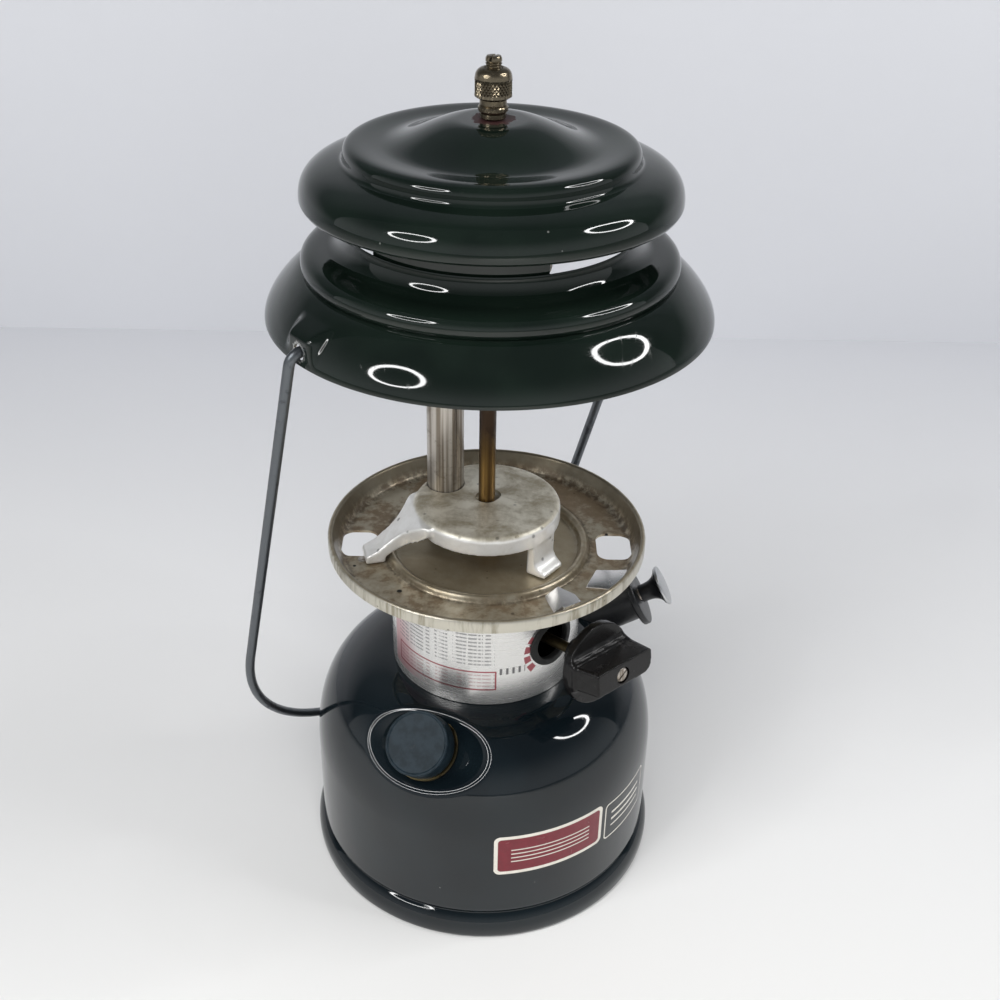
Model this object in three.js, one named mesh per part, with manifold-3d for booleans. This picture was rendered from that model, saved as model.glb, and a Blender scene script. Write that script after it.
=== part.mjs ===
// Single mantle liquid fuel lantern, in millimetres, +Z up.
// The origin is on the lantern's axis, in the plane that the fount's foot stands on.
// Azimuths are degrees about +Z: 0 points to -Y, the lantern's front, and 90 points to +X.
import * as THREE from "three";
import { mergeVertices } from "three/addons/utils/BufferGeometryUtils.js";
import Module from "manifold-3d";

const wasm = await Module();
wasm.setup();

// Fits and facets
const seatGap = 0.3;
const runGap = 0.25;
const cutOverrun = 1;
const roundSides = 32;
const smallSides = 20;
const rodSides = 12;
const wireSides = 8;
const hexSides = 6;
const domeSteps = 7;
const flareSteps = 5;
const bandSteps = 3;
const bellSteps = 4;
const arcSteps = 5;
const cornerSteps = 3;
const mergeGap = 1e-4;

// Fount: the pressed steel tank
const fountHeight = 86;
const fountRadius = 65;
const fountSheet = 1;
const domeHeight = 38.4;
const domeRise = 17.8;
const domeShoulder = 5.8;
const domeDrop = 1;
const footProud = 2.3;
const footHeight = 10.5;
const footInset = 2.4;
const grooveDepth = 0.7;
const grooveRun = 2;
const panSheet = 1;
const panLift = 0.8;
const panFlange = 7;

// Fuel filler in the front of the dome
const fillerAzimuthDegrees = -25;
const fillerElevationDegrees = 47;
const fillerInset = 8.9;
const fillerDrop = 4;
const recessDepth = 7.5;
const recessAside = 2.9;
const recessBelow = 1.2;
const recessTurnDegrees = 6;
const fingerGap = 11.6;
const recessCapGap = 3.8;
const fillerCapRadius = 11.6;
const fillerCapHeight = 9;
const fillerCapWall = 2.3;
const fillerCapTop = 2.2;
const fillerNeckWall = 1.4;
const fillerNeckInside = 9;
const fillerFlange = 3.4;
const fillerFlangeThickness = 1.2;
const gasketThickness = 1.2;

// Pump, which leans into the dome on the right
const pumpAzimuthDegrees = 90;
const pumpElevationDegrees = 28.3;
const pumpInset = 3.86;
const pumpBehind = 25.8;
const pumpRise = 6.02;
const barrelRadius = 7;
const barrelWall = 0.8;
const barrelEnd = 2;
const checkWallGap = 6.2;
const pumpCapWall = 1.8;
const pumpCapRim = 3.2;
const pumpCapFlange = 2.6;
const pumpCapLength = 29;
const rodRadius = 2.4;
const rodWall = 1.05;
const knobNeckWall = 1;
const knobLength = 8.1;
const knobDiscRadius = 7.9;
const knobDiscOverhang = 0.7;
const knobDiscThickness = 2;
const knobGap = 0.6;
const cupLength = 9;
const cupWall = 1;
const cupWeb = 1.6;
const cupClearance = 17;
const cupNutGap = 0.35;
const cupNutThickness = 2.4;
const checkLength = 14;
const checkFlange = 1.6;
const checkFlangeGap = 0.8;
const checkFlangeWidth = 1.8;
const airStemPlay = 0.45;
const airStemReach = 96;
const airStemTip = 9;

// Collar between the fount and the globe rest
const collarRadius = 34.9;
const collarSheet = 0.8;
const collarHeight = 45.3;
const collarLip = 5;

// Valve on the axis, and its knob through the collar
const bushWall = 3.7;
const bushFlange = 1.6;
const bushDepth = 8;
const pickupRadius = 3.2;
const pickupWall = 1;
const pickupClearance = 5;
const valveRadius = 8;
const valveTopGap = 3.3;
const valveBore = 2.4;
const nippleWall = 2.2;
const nippleHeight = 7;
const valveAzimuthDegrees = 43;
const valveElevationDegrees = 8;
const valveHeight = 17.5;
const armRadius = 5.4;
const armReach = 17;
const packingReach = 6;
const packingWall = 4.2;
const stemRadius = 2;
const stemStart = 3;
const knobStandoff = 12.1;
const knobHubRadius = 6;
const knobHubLength = 8;
const dialThickness = 3;
const dialRadius = 14.8;
const wingWidth = 26.5;
const wingHeight = 8.8;
const wingDepth = 11.5;
const knobScrewRadius = 2.7;
const knobScrewDepth = 5;
const knobScrewSlot = 0.8;
const knobScrewProud = 0.4;
const ringRadius = 9.8;
const ringFlange = 1.2;
const ringWall = 1.4;
const ringProud = 1.2;

// Globe rest, the shallow dish on the collar
const dishSheet = 0.9;
const dishFloorRadius = 51.5;
const dishWallRun = 5.55;
const dishRimHeight = 7.1;
const dishBandHeight = 4.6;
const dishRimInset = 1.9;
const dishBeadHeight = 2.2;
const dishBeadWidth = 2.4;
const dishHubDrop = 0.6;
const matchHoleInset = 5.5;
const matchHoleBehind = -1.9;
const matchHoleDeep = 12.5;
const matchHoleWide = 14;
const matchHoleCorner = 4;

// Bridge, the cast stool that carries the burner
const bridgeInset = 6.7;
const bridgeHeight = 18.6;
const bridgeLip = 6;
const bridgeWall = 2.6;
const bridgeRound = 1.6;
const legWidth = 13;
const legThickness = 2.8;
const longLegAzimuthDegrees = -75;
const longLegMargin = 1.5;
const longLegKneeGap = 0.2;
const shortLegAzimuthDegrees = 52;
const rearLegAzimuthDegrees = 170;
const shortLegToe = 3.9;
const bridgeScrewRadius = 1.9;
const bridgeScrewRim = 1.5;
const bridgeScrewHead = 1.8;
const bridgeScrewLength = 3.6;
const screwSlotDepth = 0.8;
const screwSlotWidth = 0.9;

// Burner column
const airTubeX = -15.2;
const airTubeY = 10.6;
const airTubeRadius = 6.6;
const airTubeWall = 0.7;
const airTubeDip = 12;
const generatorRadius = 2.95;
const generatorWall = 0.95;
const generatorX = -0.2;
const generatorY = 1;
const jamNutWall = 2;
const jamNutHeight = 13;
const bridgeSlotLength = 11;
const bridgeSlotRadius = 4.4;
const needleRadius = 0.55;
const needleDrop = 25;
const needleTipRadius = 0.25;
const needleTipLength = 1.8;
const needleTipGap = 0.6;
const gasTipRadius = 3.4;
const gasTipHeight = 6;
const gasTipShoulder = 0.4;
const gasTipBore = 0.45;
const burnerX = 13;
const burnerY = -11;
const manifoldLift = 21.3;
const manifoldHeight = 15;
const manifoldRim = 1.7;
const manifoldWall = 1.6;
const manifoldSleeve = 4;
const burnerTubeRadius = 4.6;
const burnerTubeWall = 0.8;
const burnerTubeHeight = 11;
const burnerCapRadius = 7.4;
const burnerCapHeight = 6;
const burnerCapWall = 1;
const burnerCapHoleRadius = 0.9;
const burnerCapHoleRing = 4.2;
const burnerCapHoles = 6;
const mantleRadius = 11.5;
const mantleLength = 36;
const mantleWall = 0.8;
const mantleNeck = 3;

// Ventilator: cap and skirt joined by curved straps in a neck, from a radius that the others follow
const ventSheet = 0.9;
const ventRise = 92.6;
const neckRadius = 51;
const neckDraw = 4.5;
const neckRise = 7.2;
const neckTabs = 3;
const neckTabSheet = 0.8;
const neckTabFlange = 3.4;
const neckTabLap = 4;
const neckTabDegrees = 72;
const neckTabAzimuthDegrees = -14;
const skirtFlareHeight = 15.2;
const skirtFlareWidth = 13;
const skirtFlareRun = 3.2;
const skirtFlareDrop = 5.9;
const skirtCrease = 0.8;
const skirtBandHeight = 6.4;
const skirtBandWidth = 8.1;
const skirtLip = 1.2;
const ventGap = 15.4;
const capRimOverhang = 8.6;
const capRimCurl = 2.4;
const capRimBulge = 8;
const capFlareHeight = 11.8;
const capFlareWidth = 12.8;
const capFlareRun = 4.8;
const capFlareDrop = 1.1;
const crownInset = 1.2;
const crownHeight = 6;
const valleyInset = 11.4;
const valleyDrop = 1.1;
const domeTopRadius = 10;
const domeTopHeight = 7.1;
const earWidth = 14;
const earHeight = 11;
const earInset = 0.5;
const earLift = 0.7;
const pivotAzimuthDegrees = -51.2;
const pivotRise = 3.9;
const pivotPlay = 0.8;

// Stud and ball nut
const studShoulderRadius = 5.2;
const studRadius = 2.5;
const studProtrusion = 18.5;
const studHolePlay = 0.4;
const nutRadius = 5.25;
const nutHeight = 17;
const nutNeckInset = 0.95;
const nutNeckHeight = 6;
const nutFootProud = 0.4;
const nutFootHeight = 1.2;

// Bail
const bailWire = 3.6;
const bailSideGap = 0.6;
const bailStandoff = 5.7;
const bailRestHeight = 15.7;
const bailHook = 9;
const bailBend = 4;
const bailArcSteps = 22;
const bailLegSteps = 3;
const bailBendSteps = 4;

// Radii that follow their neighbours
const footRadius = fountRadius + footProud;
const footInnerRadius = fountRadius - footInset;
const grooveRadius = fountRadius - grooveDepth;
const recessHalfWidth = fillerCapRadius + fingerGap;
const recessHalfHeight = fillerCapRadius + recessCapGap;
const fillerNeckRadius = fillerCapRadius - fillerCapWall - seatGap;
const fillerNeckBore = fillerNeckRadius - fillerNeckWall;
const fillerFlangeRadius = fillerNeckRadius + fillerFlange;
const barrelBore = barrelRadius - barrelWall;
const pumpCapBodyRadius = barrelRadius + pumpCapWall;
const pumpCapRadius = pumpCapBodyRadius + pumpCapRim;
const checkFlangeRadius = barrelBore - checkFlangeGap;
const checkRadius = checkFlangeRadius - checkFlangeWidth;
const rodBore = rodRadius - rodWall;
const airStemRadius = rodBore - airStemPlay;
const knobNeckRadius = rodRadius + knobNeckWall;
const knobFlareRadius = knobDiscRadius - knobDiscOverhang;
const cupNutRadius = barrelBore - runGap - cupWall - cupNutGap;
const bushBore = valveRadius + seatGap;
const bushRadius = bushBore + bushWall;
const pickupBore = pickupRadius - pickupWall;
const nippleRadius = valveBore + nippleWall;
const jamNutRadius = nippleRadius + jamNutWall;
const packingRadius = stemRadius + packingWall;
const ringNeckRadius = ringRadius - ringFlange;
const ringBore = ringNeckRadius - ringWall;
const dishRadius = dishFloorRadius + dishWallRun;
const dishBeadRadius = collarRadius + seatGap;
const matchHoleX = dishFloorRadius - matchHoleInset;
const longLegReach = dishFloorRadius - longLegMargin;
const longLegKnee = dishBeadRadius + dishBeadWidth + longLegKneeGap;
const bridgeRadius = dishBeadRadius - dishBeadWidth - bridgeInset;
const shortLegReach = bridgeRadius + shortLegToe;
const bridgeScrewHeadRadius = bridgeScrewRadius + bridgeScrewRim;
const airTubeBore = airTubeRadius - airTubeWall;
const generatorBore = generatorRadius - generatorWall;
const gasTipShank = gasTipRadius - gasTipShoulder;
const manifoldRadius = airTubeRadius + seatGap + manifoldRim;
const burnerTubeBore = burnerTubeRadius - burnerTubeWall;
const skirtShoulderRadius = neckRadius + skirtLip;
const neckTopRadius = neckRadius - neckDraw;
const skirtBandRadius = skirtShoulderRadius + skirtBandWidth;
const skirtFlareStart = skirtBandRadius - skirtCrease;
const skirtRadius = skirtFlareStart + skirtFlareWidth;
const capRimRadius = neckRadius + capRimOverhang;
const capFlareStart = capRimRadius - capFlareWidth;
const crownRadius = capFlareStart - crownInset;
const valleyRadius = crownRadius - valleyInset;
const pivotHoleRadius = bailWire / 2 + pivotPlay;
const studHoleRadius = studRadius + studHolePlay;
const nutBore = studRadius + runGap;
const nutNeckRadius = nutRadius - nutNeckInset;
const nutFootRadius = nutNeckRadius + nutFootProud;
const bailRadius = skirtRadius + bailSideGap + bailWire / 2;

// Levels, from the foot up
const wallTop = fountHeight - domeHeight;
const collarBase = fountHeight + seatGap;
const collarTop = collarBase + collarHeight;
const valveTop = collarHeight - valveTopGap;
const dishHub = collarTop + dishSheet;
const dishFloor = dishHub + dishHubDrop;
const bridgeTop = dishFloor + bridgeHeight;
const skirtRim = dishFloor + ventRise;
const pivotHeight = skirtRim + pivotRise;
const skirtFlareTop = skirtRim + skirtFlareHeight;
const skirtTop = skirtFlareTop + skirtBandHeight;
const neckSill = skirtTop + neckRise;
const manifoldBase = skirtRim + manifoldLift;
const manifoldTop = manifoldBase + manifoldHeight;
const capRim = skirtTop + ventGap;
const capFlareTop = capRim + capFlareHeight;
const crownTop = capFlareTop + crownHeight;
const valley = crownTop - valleyDrop;
const capTop = valley + domeTopHeight;
const studTop = capTop + studProtrusion;

// The bail leans back until its crossbar rests just clear of the fount.
const bailOut = fountRadius + bailStandoff;
const bailDropHeight = pivotHeight - bailRestHeight;
const bailReach = Math.hypot(bailOut, bailDropHeight);
const bailLeanDegrees = THREE.MathUtils.radToDeg(Math.atan2(bailOut, bailDropHeight));

// The barrel crosses the fount, until its check valve just clears the far wall.
const farWallRun = Math.sqrt((fountRadius - fountSheet) ** 2 - pumpBehind ** 2);
const pumpRun = fountRadius - pumpInset + farWallRun - checkWallGap;
const barrelTilt = THREE.MathUtils.degToRad(pumpElevationDegrees);
const barrelLength = pumpRun / Math.cos(barrelTilt) - checkLength;

// Solids and placing

function solidOf(geometry) {
  const bare = geometry.index ? geometry.toNonIndexed() : geometry.clone();
  for (const key of Object.keys(bare.attributes)) {
    if (key !== "position") bare.deleteAttribute(key);
  }
  const merged = mergeVertices(bare, mergeGap);
  const mesh = new wasm.Mesh({
    numProp: 3,
    vertProperties: new Float32Array(merged.attributes.position.array),
    triVerts: new Uint32Array(merged.index.array),
  });
  return new wasm.Manifold(mesh);
}

function geometryOf(solid) {
  const mesh = solid.getMesh();
  const positions = new Float32Array(mesh.numVert * 3);
  for (let i = 0; i < mesh.numVert; i += 1) {
    for (let k = 0; k < 3; k += 1) positions[3 * i + k] = mesh.vertProperties[mesh.numProp * i + k];
  }
  const geometry = new THREE.BufferGeometry();
  geometry.setAttribute("position", new THREE.BufferAttribute(positions, 3));
  geometry.setIndex(new THREE.BufferAttribute(new Uint32Array(mesh.triVerts), 1));
  const flat = geometry.toNonIndexed();
  flat.computeVertexNormals();
  return flat;
}

function join(first, ...others) {
  const solid = others.reduce((sum, other) => sum.add(solidOf(other)), solidOf(first));
  return geometryOf(solid);
}

function cut(first, ...tools) {
  const solid = tools.reduce((rest, tool) => rest.subtract(solidOf(tool)), solidOf(first));
  return geometryOf(solid);
}

function overlapOf(first, second) {
  return geometryOf(solidOf(first).intersect(solidOf(second)));
}

function moved(geometry, x, y, z) {
  return geometry.clone().translate(x, y, z);
}

function radians(degrees) {
  return THREE.MathUtils.degToRad(degrees);
}

// A direction from its azimuth and its elevation above the level.
function heading(azimuth, elevation) {
  const flat = Math.cos(radians(elevation));
  const x = Math.sin(radians(azimuth)) * flat;
  const y = -Math.cos(radians(azimuth)) * flat;
  return new THREE.Vector3(x, y, Math.sin(radians(elevation)));
}

// A frame at a point: local Z runs along the heading, local X is level and local Y points up.
function frameAt(origin, azimuth, elevation) {
  const along = heading(azimuth, elevation);
  const level = new THREE.Vector3(Math.cos(radians(azimuth)), Math.sin(radians(azimuth)), 0);
  const up = new THREE.Vector3().crossVectors(along, level);
  return new THREE.Matrix4().makeBasis(level, up, along).setPosition(origin);
}

function groupAt(frame) {
  const group = new THREE.Group();
  frame.decompose(group.position, group.quaternion, group.scale);
  return group;
}

function placed(geometry, frame) {
  return geometry.clone().applyMatrix4(frame);
}

// A solid of revolution about Z from a closed outline of [radius, height] points.
function turned(outline, sides = roundSides) {
  let area = 0;
  outline.forEach(([r, z], i) => {
    const [nextR, nextZ] = outline[(i + 1) % outline.length];
    area += r * nextZ - nextR * z;
  });
  const ring = area > 0 ? [...outline] : [...outline].reverse();
  const points = [...ring, ring[0]].map(([r, z]) => new THREE.Vector2(r, z));
  return new THREE.LatheGeometry(points, sides).rotateX(Math.PI / 2);
}

function disc(radius, bottom, top, sides = smallSides) {
  const geometry = new THREE.CylinderGeometry(radius, radius, top - bottom, sides);
  return geometry.rotateX(Math.PI / 2).translate(0, 0, (bottom + top) / 2);
}

function sleeve(outer, inner, bottom, top, sides = smallSides) {
  return turned([[inner, bottom], [outer, bottom], [outer, top], [inner, top]], sides);
}

// A hexagonal nut with a round bore.
function hexNut(radius, bore, bottom, top) {
  const hole = disc(bore, bottom - cutOverrun, top + cutOverrun, rodSides);
  return cut(disc(radius, bottom, top, hexSides), hole);
}

function block(width, depth, bottom, top) {
  return new THREE.BoxGeometry(width, depth, top - bottom).translate(0, 0, (bottom + top) / 2);
}

// A level plate with the outline of a shape, from one height to another.
function plate(shape, bottom, top, curveSegments = arcSteps) {
  const options = { depth: top - bottom, bevelEnabled: false, curveSegments };
  return new THREE.ExtrudeGeometry(shape, options).translate(0, 0, bottom);
}

// The outline of two equal circles and the straight sides between them.
function stadium(radius, start, end) {
  const along = new THREE.Vector2().subVectors(end, start);
  const turn = Math.atan2(along.y, along.x);
  const shape = new THREE.Shape();
  shape.absarc(end.x, end.y, radius, turn - Math.PI / 2, turn + Math.PI / 2);
  shape.absarc(start.x, start.y, radius, turn + Math.PI / 2, turn + 3 * Math.PI / 2);
  shape.closePath();
  return shape;
}

function roundedRectangle(width, height, corner) {
  const w = width / 2;
  const h = height / 2;
  const shape = new THREE.Shape();
  shape.moveTo(corner - w, -h);
  shape.lineTo(w - corner, -h);
  shape.absarc(w - corner, corner - h, corner, -Math.PI / 2, 0);
  shape.lineTo(w, h - corner);
  shape.absarc(w - corner, h - corner, corner, 0, Math.PI / 2);
  shape.lineTo(corner - w, h);
  shape.absarc(corner - w, h - corner, corner, Math.PI / 2, Math.PI);
  shape.lineTo(-w, corner - h);
  shape.absarc(corner - w, corner - h, corner, Math.PI, 3 * Math.PI / 2);
  return shape;
}

// Points of a cubic curve between [radius, height] ends.
function curve(a, b, c, d, steps) {
  const line = new THREE.CubicBezierCurve(
    new THREE.Vector2(...a),
    new THREE.Vector2(...b),
    new THREE.Vector2(...c),
    new THREE.Vector2(...d),
  );
  return line.getPoints(steps).map((p) => [p.x, p.y]);
}

// The same open outline, shifted sideways by a sheet's thickness: positive goes right of its direction.
function offsetOutline(outline, distance) {
  return outline.map(([r, z], i) => {
    const before = outline[Math.max(i - 1, 0)];
    const after = outline[Math.min(i + 1, outline.length - 1)];
    const dr = after[0] - before[0];
    const dz = after[1] - before[1];
    const run = Math.hypot(dr, dz);
    return [r + distance * dz / run, z - distance * dr / run];
  });
}

// A sheet with an outer face outline, drawn from the rim in to the axis, and its inner face below it.
function sheetOf(outerFace, thickness) {
  return [...outerFace, ...offsetOutline(outerFace, -thickness).reverse()];
}

// Materials
const finish = (color, roughness, metalness) => {
  return new THREE.MeshStandardMaterial({ color, roughness, metalness });
};
const fountEnamel = finish(0x0b1414, 0.12, 0.1);
const ventEnamel = finish(0x0a120e, 0.1, 0.1);
const panSteel = finish(0x1a1f1f, 0.5, 0.4);
const collarSteel = finish(0xb9b9b6, 0.3, 0.9);
const dishNickel = finish(0x9c917c, 0.4, 0.85);
const castMetal = finish(0xa09c94, 0.45, 0.8);
const tubeSteel = finish(0x8b857a, 0.4, 0.85);
const brass = finish(0x8d6b2c, 0.4, 0.85);
const blackPlastic = finish(0x17171a, 0.45, 0);
const rubber = finish(0x101010, 0.8, 0);
const leather = finish(0x5b3a22, 0.8, 0);
const aluminium = finish(0xa5a7a8, 0.35, 0.9);
const nutMetal = finish(0x7c7264, 0.35, 0.9);
const wireSteel = finish(0x3d3a38, 0.5, 0.7);
const ceramic = finish(0xe9e6dc, 0.9, 0);

const lantern = new THREE.Group();

function addPiece(parent, name, geometry, material) {
  const mesh = new THREE.Mesh(geometry, material);
  mesh.name = name;
  parent.add(mesh);
}

// Frames of the tilted pieces
const fillerPoint = heading(fillerAzimuthDegrees, 0).multiplyScalar(fountRadius - fillerInset);
fillerPoint.setZ(fountHeight - fillerDrop);
const fillerFrame = frameAt(fillerPoint, fillerAzimuthDegrees, fillerElevationDegrees);
const pumpPoint = new THREE.Vector3(fountRadius - pumpInset, pumpBehind, fountHeight + pumpRise);
const pumpFrame = frameAt(pumpPoint, pumpAzimuthDegrees, pumpElevationDegrees);
const valveOrigin = new THREE.Vector3(0, 0, collarBase + valveHeight);
const valveFrame = frameAt(valveOrigin, valveAzimuthDegrees, valveElevationDegrees);

// Fount
const footBulge = footRadius - grooveRadius;
const footShares = [[0.5, 0], [0.85, 0.06], [1, 0.32], [0.93, 0.6], [0.55, 0.85], [0, 1]];

function fountFace() {
  const foot = footShares.map(([out, up]) => [grooveRadius + out * footBulge, up * footHeight]);
  const dome = curve(
    [fountRadius, wallTop],
    [fountRadius, wallTop + domeRise],
    [fountRadius - domeShoulder, fountHeight - domeDrop],
    [collarRadius, fountHeight],
    domeSteps,
  );
  return [...foot, [fountRadius, footHeight + grooveRun], ...dome];
}

// The fount as a solid block, grown outward all round.
function fountBlock(growth) {
  return turned([[0, 0], ...offsetOutline(fountFace(), growth), [0, fountHeight + growth]]);
}

// The oval recess round the filler cap, grown all round, as a solid block in the filler's frame.
function fingerRecess(growth) {
  const floor = -fillerCapHeight - fillerFlangeThickness - growth;
  const block = disc(recessHalfWidth + growth, floor, fillerCapHeight + recessDepth, roundSides);
  const narrow = (recessHalfHeight + growth) / (recessHalfWidth + growth);
  return block.scale(1, narrow, 1)
    .rotateZ(radians(recessTurnDegrees))
    .translate(recessAside, -recessBelow, 0);
}

function fountShell() {
  const outer = fountFace();
  const wall = outer.slice(footShares.length);
  const inner = offsetOutline(wall, -fountSheet).filter((point, i) => i < 2 || i % 2 === 1);
  const hole = bushRadius - bushFlange + seatGap;
  const outline = [
    [footInnerRadius, 0],
    ...outer,
    [hole, fountHeight],
    [hole, fountHeight - fountSheet],
    ...inner.reverse(),
    [footInnerRadius, footHeight],
  ];
  const shell = turned(outline);
  const whole = fountBlock(0);
  const cup = placed(fingerRecess(fountSheet), fillerFrame);
  const pocket = placed(fingerRecess(0), fillerFrame);
  const neckEnd = -fillerCapHeight - fillerFlangeThickness - fountSheet - fillerNeckInside;
  const neckHole = disc(fillerNeckRadius + seatGap, neckEnd - cutOverrun, fillerCapHeight);
  const pumpHole = disc(barrelRadius + seatGap, -barrelLength, 0);
  return cut(
    join(shell, overlapOf(cup, whole)),
    pocket,
    placed(neckHole, fillerFrame),
    placed(pumpHole, pumpFrame),
  );
}

function basePan() {
  const edge = footInnerRadius - seatGap;
  const top = panLift + panFlange;
  return turned([
    [0, panLift],
    [edge, panLift],
    [edge, top],
    [edge - panSheet, top],
    [edge - panSheet, panLift + panSheet],
    [0, panLift + panSheet],
  ]);
}

addPiece(lantern, "fount_shell", fountShell(), fountEnamel);
addPiece(lantern, "fount_base_pan", basePan(), panSteel);

// Filler, in its own frame: Z runs out of the dome from the middle of the cap's face
const filler = groupAt(fillerFrame);
lantern.add(filler);
const fillerFlangeTop = seatGap - fillerCapHeight;
const fillerSeat = -fillerCapTop - gasketThickness - 2 * seatGap;

function fillerNeck() {
  const bottom = -fillerCapHeight - fillerFlangeThickness - fountSheet - fillerNeckInside;
  const flangeBottom = seatGap - fillerCapHeight - fillerFlangeThickness;
  return turned([
    [fillerNeckBore, bottom],
    [fillerNeckRadius, bottom],
    [fillerNeckRadius, flangeBottom],
    [fillerFlangeRadius, flangeBottom],
    [fillerFlangeRadius, fillerFlangeTop],
    [fillerNeckRadius, fillerFlangeTop],
    [fillerNeckRadius, fillerSeat],
    [fillerNeckBore, fillerSeat],
  ], roundSides / 2);
}

function fillerCap() {
  const bottom = fillerFlangeTop + seatGap;
  const bore = fillerNeckRadius + seatGap;
  return turned([
    [0, 0],
    [fillerCapRadius, 0],
    [fillerCapRadius, bottom],
    [bore, bottom],
    [bore, -fillerCapTop],
    [0, -fillerCapTop],
  ], roundSides / 2);
}

function fillerGasket() {
  const top = -fillerCapTop - seatGap;
  return disc(fillerNeckRadius - seatGap, top - gasketThickness, top);
}

addPiece(filler, "filler_neck", fillerNeck(), brass);
addPiece(filler, "filler_cap", fillerCap(), blackPlastic);
addPiece(filler, "filler_gasket", fillerGasket(), rubber);

// Pump, in its own frame: Z runs out along the rod from the face of the cap's flange
const pump = groupAt(pumpFrame);
lantern.add(pump);
const barrelMouth = -pumpCapFlange - seatGap;
const barrelFloor = barrelEnd - barrelLength;
const cupFloorZ = barrelFloor + cupClearance + cupLength;

function pumpBarrel() {
  return turned([
    [checkRadius + seatGap, -barrelLength],
    [barrelRadius, -barrelLength],
    [barrelRadius, barrelMouth],
    [barrelBore, barrelMouth],
    [barrelBore, barrelFloor],
    [checkRadius + seatGap, barrelFloor],
  ], smallSides);
}

// The cap's body is coped to the dome that it stands on.
function pumpCap() {
  const bore = barrelRadius + seatGap;
  const body = turned([
    [rodRadius + runGap, -pumpCapFlange],
    [bore, -pumpCapFlange],
    [bore, -pumpCapLength],
    [pumpCapBodyRadius, -pumpCapLength],
    [pumpCapBodyRadius, -pumpCapFlange],
    [pumpCapRadius, -pumpCapFlange],
    [pumpCapRadius, 0],
    [rodRadius + runGap, 0],
  ], roundSides / 2);
  return cut(body, placed(fountBlock(seatGap), pumpFrame.clone().invert()));
}

function pumpKnob() {
  const start = knobGap;
  const end = start + knobLength;
  const flare = curve(
    [knobNeckRadius, start],
    [knobNeckRadius, start + knobLength / 2],
    [knobNeckRadius, end - knobDiscThickness],
    [knobFlareRadius, end],
    bellSteps,
  );
  return turned([[rodRadius + seatGap, start], ...flare, [rodRadius + seatGap, end]], smallSides);
}

function pumpKnobDisc() {
  const start = knobGap + knobLength + seatGap;
  const crown = knobDiscThickness / 4;
  return turned([
    [0, start],
    [knobDiscRadius, start],
    [knobDiscRadius, start + knobDiscThickness - crown],
    [knobDiscRadius - crown, start + knobDiscThickness],
    [0, start + knobDiscThickness],
  ], smallSides);
}

function pumpCup() {
  const skirt = barrelBore - runGap;
  const bottom = cupFloorZ - cupLength;
  return turned([
    [rodRadius + runGap, cupFloorZ - cupWeb],
    [skirt - cupWall, cupFloorZ - cupWeb],
    [skirt - cupWall, bottom],
    [skirt, bottom],
    [skirt, cupFloorZ],
    [rodRadius + runGap, cupFloorZ],
  ], smallSides);
}

function checkValve() {
  const seat = barrelFloor + seatGap;
  return turned([
    [airStemRadius + seatGap, -barrelLength - checkLength],
    [checkRadius, -barrelLength - checkLength],
    [checkRadius, seat],
    [checkFlangeRadius, seat],
    [checkFlangeRadius, seat + checkFlange],
    [airStemRadius + seatGap, seat + checkFlange],
  ], rodSides);
}

const rodEnd = cupFloorZ - cupWeb - cupNutThickness - seatGap;
addPiece(pump, "pump_barrel", pumpBarrel(), brass);
addPiece(pump, "pump_cap", pumpCap(), blackPlastic);
addPiece(pump, "pump_rod", sleeve(rodRadius, rodBore, rodEnd, knobGap + knobLength, rodSides), tubeSteel);
addPiece(pump, "pump_knob", pumpKnob(), blackPlastic);
addPiece(pump, "pump_knob_disc", pumpKnobDisc(), aluminium);
addPiece(pump, "pump_cup", pumpCup(), leather);
const cupNutTop = cupFloorZ - cupWeb - seatGap;
const cupNut = hexNut(cupNutRadius, rodRadius + runGap, cupNutTop - cupNutThickness, cupNutTop);
addPiece(pump, "pump_cup_nut", cupNut, brass);
addPiece(pump, "check_valve", checkValve(), brass);
const stemTipZ = -barrelLength - airStemTip;
addPiece(pump, "air_stem", disc(airStemRadius, stemTipZ, stemTipZ + airStemReach, rodSides), tubeSteel);

// Collar, with the round hole that the valve arm passes
function valveDisc(radius, start, end) {
  return placed(disc(radius, start, end), valveFrame);
}

function collar() {
  const shell = turned([
    [collarRadius - collarSheet, collarBase],
    [collarRadius, collarBase],
    [collarRadius, collarTop - seatGap],
    [collarRadius - collarLip, collarTop - seatGap],
    [collarRadius - collarLip, collarTop - seatGap - collarSheet],
    [collarRadius - collarSheet, collarTop - seatGap - collarSheet],
  ]);
  return cut(shell, valveDisc(ringNeckRadius + seatGap, armReach, collarRadius + collarLip));
}

function valveRing() {
  const start = collarRadius - collarLip;
  const end = collarRadius + collarLip;
  const low = collarBase;
  const high = collarTop - collarLip;
  const outside = sleeve(collarRadius + ringProud, collarRadius + seatGap, low, high, roundSides);
  const through = sleeve(collarRadius + ringProud, collarRadius - collarSheet, low, high, roundSides);
  const flange = overlapOf(outside, valveDisc(ringRadius, start, end));
  const neck = overlapOf(through, valveDisc(ringNeckRadius, start, end));
  return cut(join(flange, neck), valveDisc(ringBore, start - cutOverrun, end + cutOverrun));
}

addPiece(lantern, "collar", collar(), collarSteel);
addPiece(lantern, "valve_hole_ring", valveRing(), rubber);

// Valve: bush, body and pickup on the axis, arm and knob in the valve's own frame
function fountBush() {
  const top = fountHeight + seatGap + bushFlange;
  return turned([
    [bushBore, fountHeight - bushDepth],
    [bushRadius - bushFlange, fountHeight - bushDepth],
    [bushRadius - bushFlange, fountHeight + seatGap],
    [bushRadius, fountHeight + seatGap],
    [bushRadius, top],
    [bushBore, top],
  ], smallSides);
}

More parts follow.
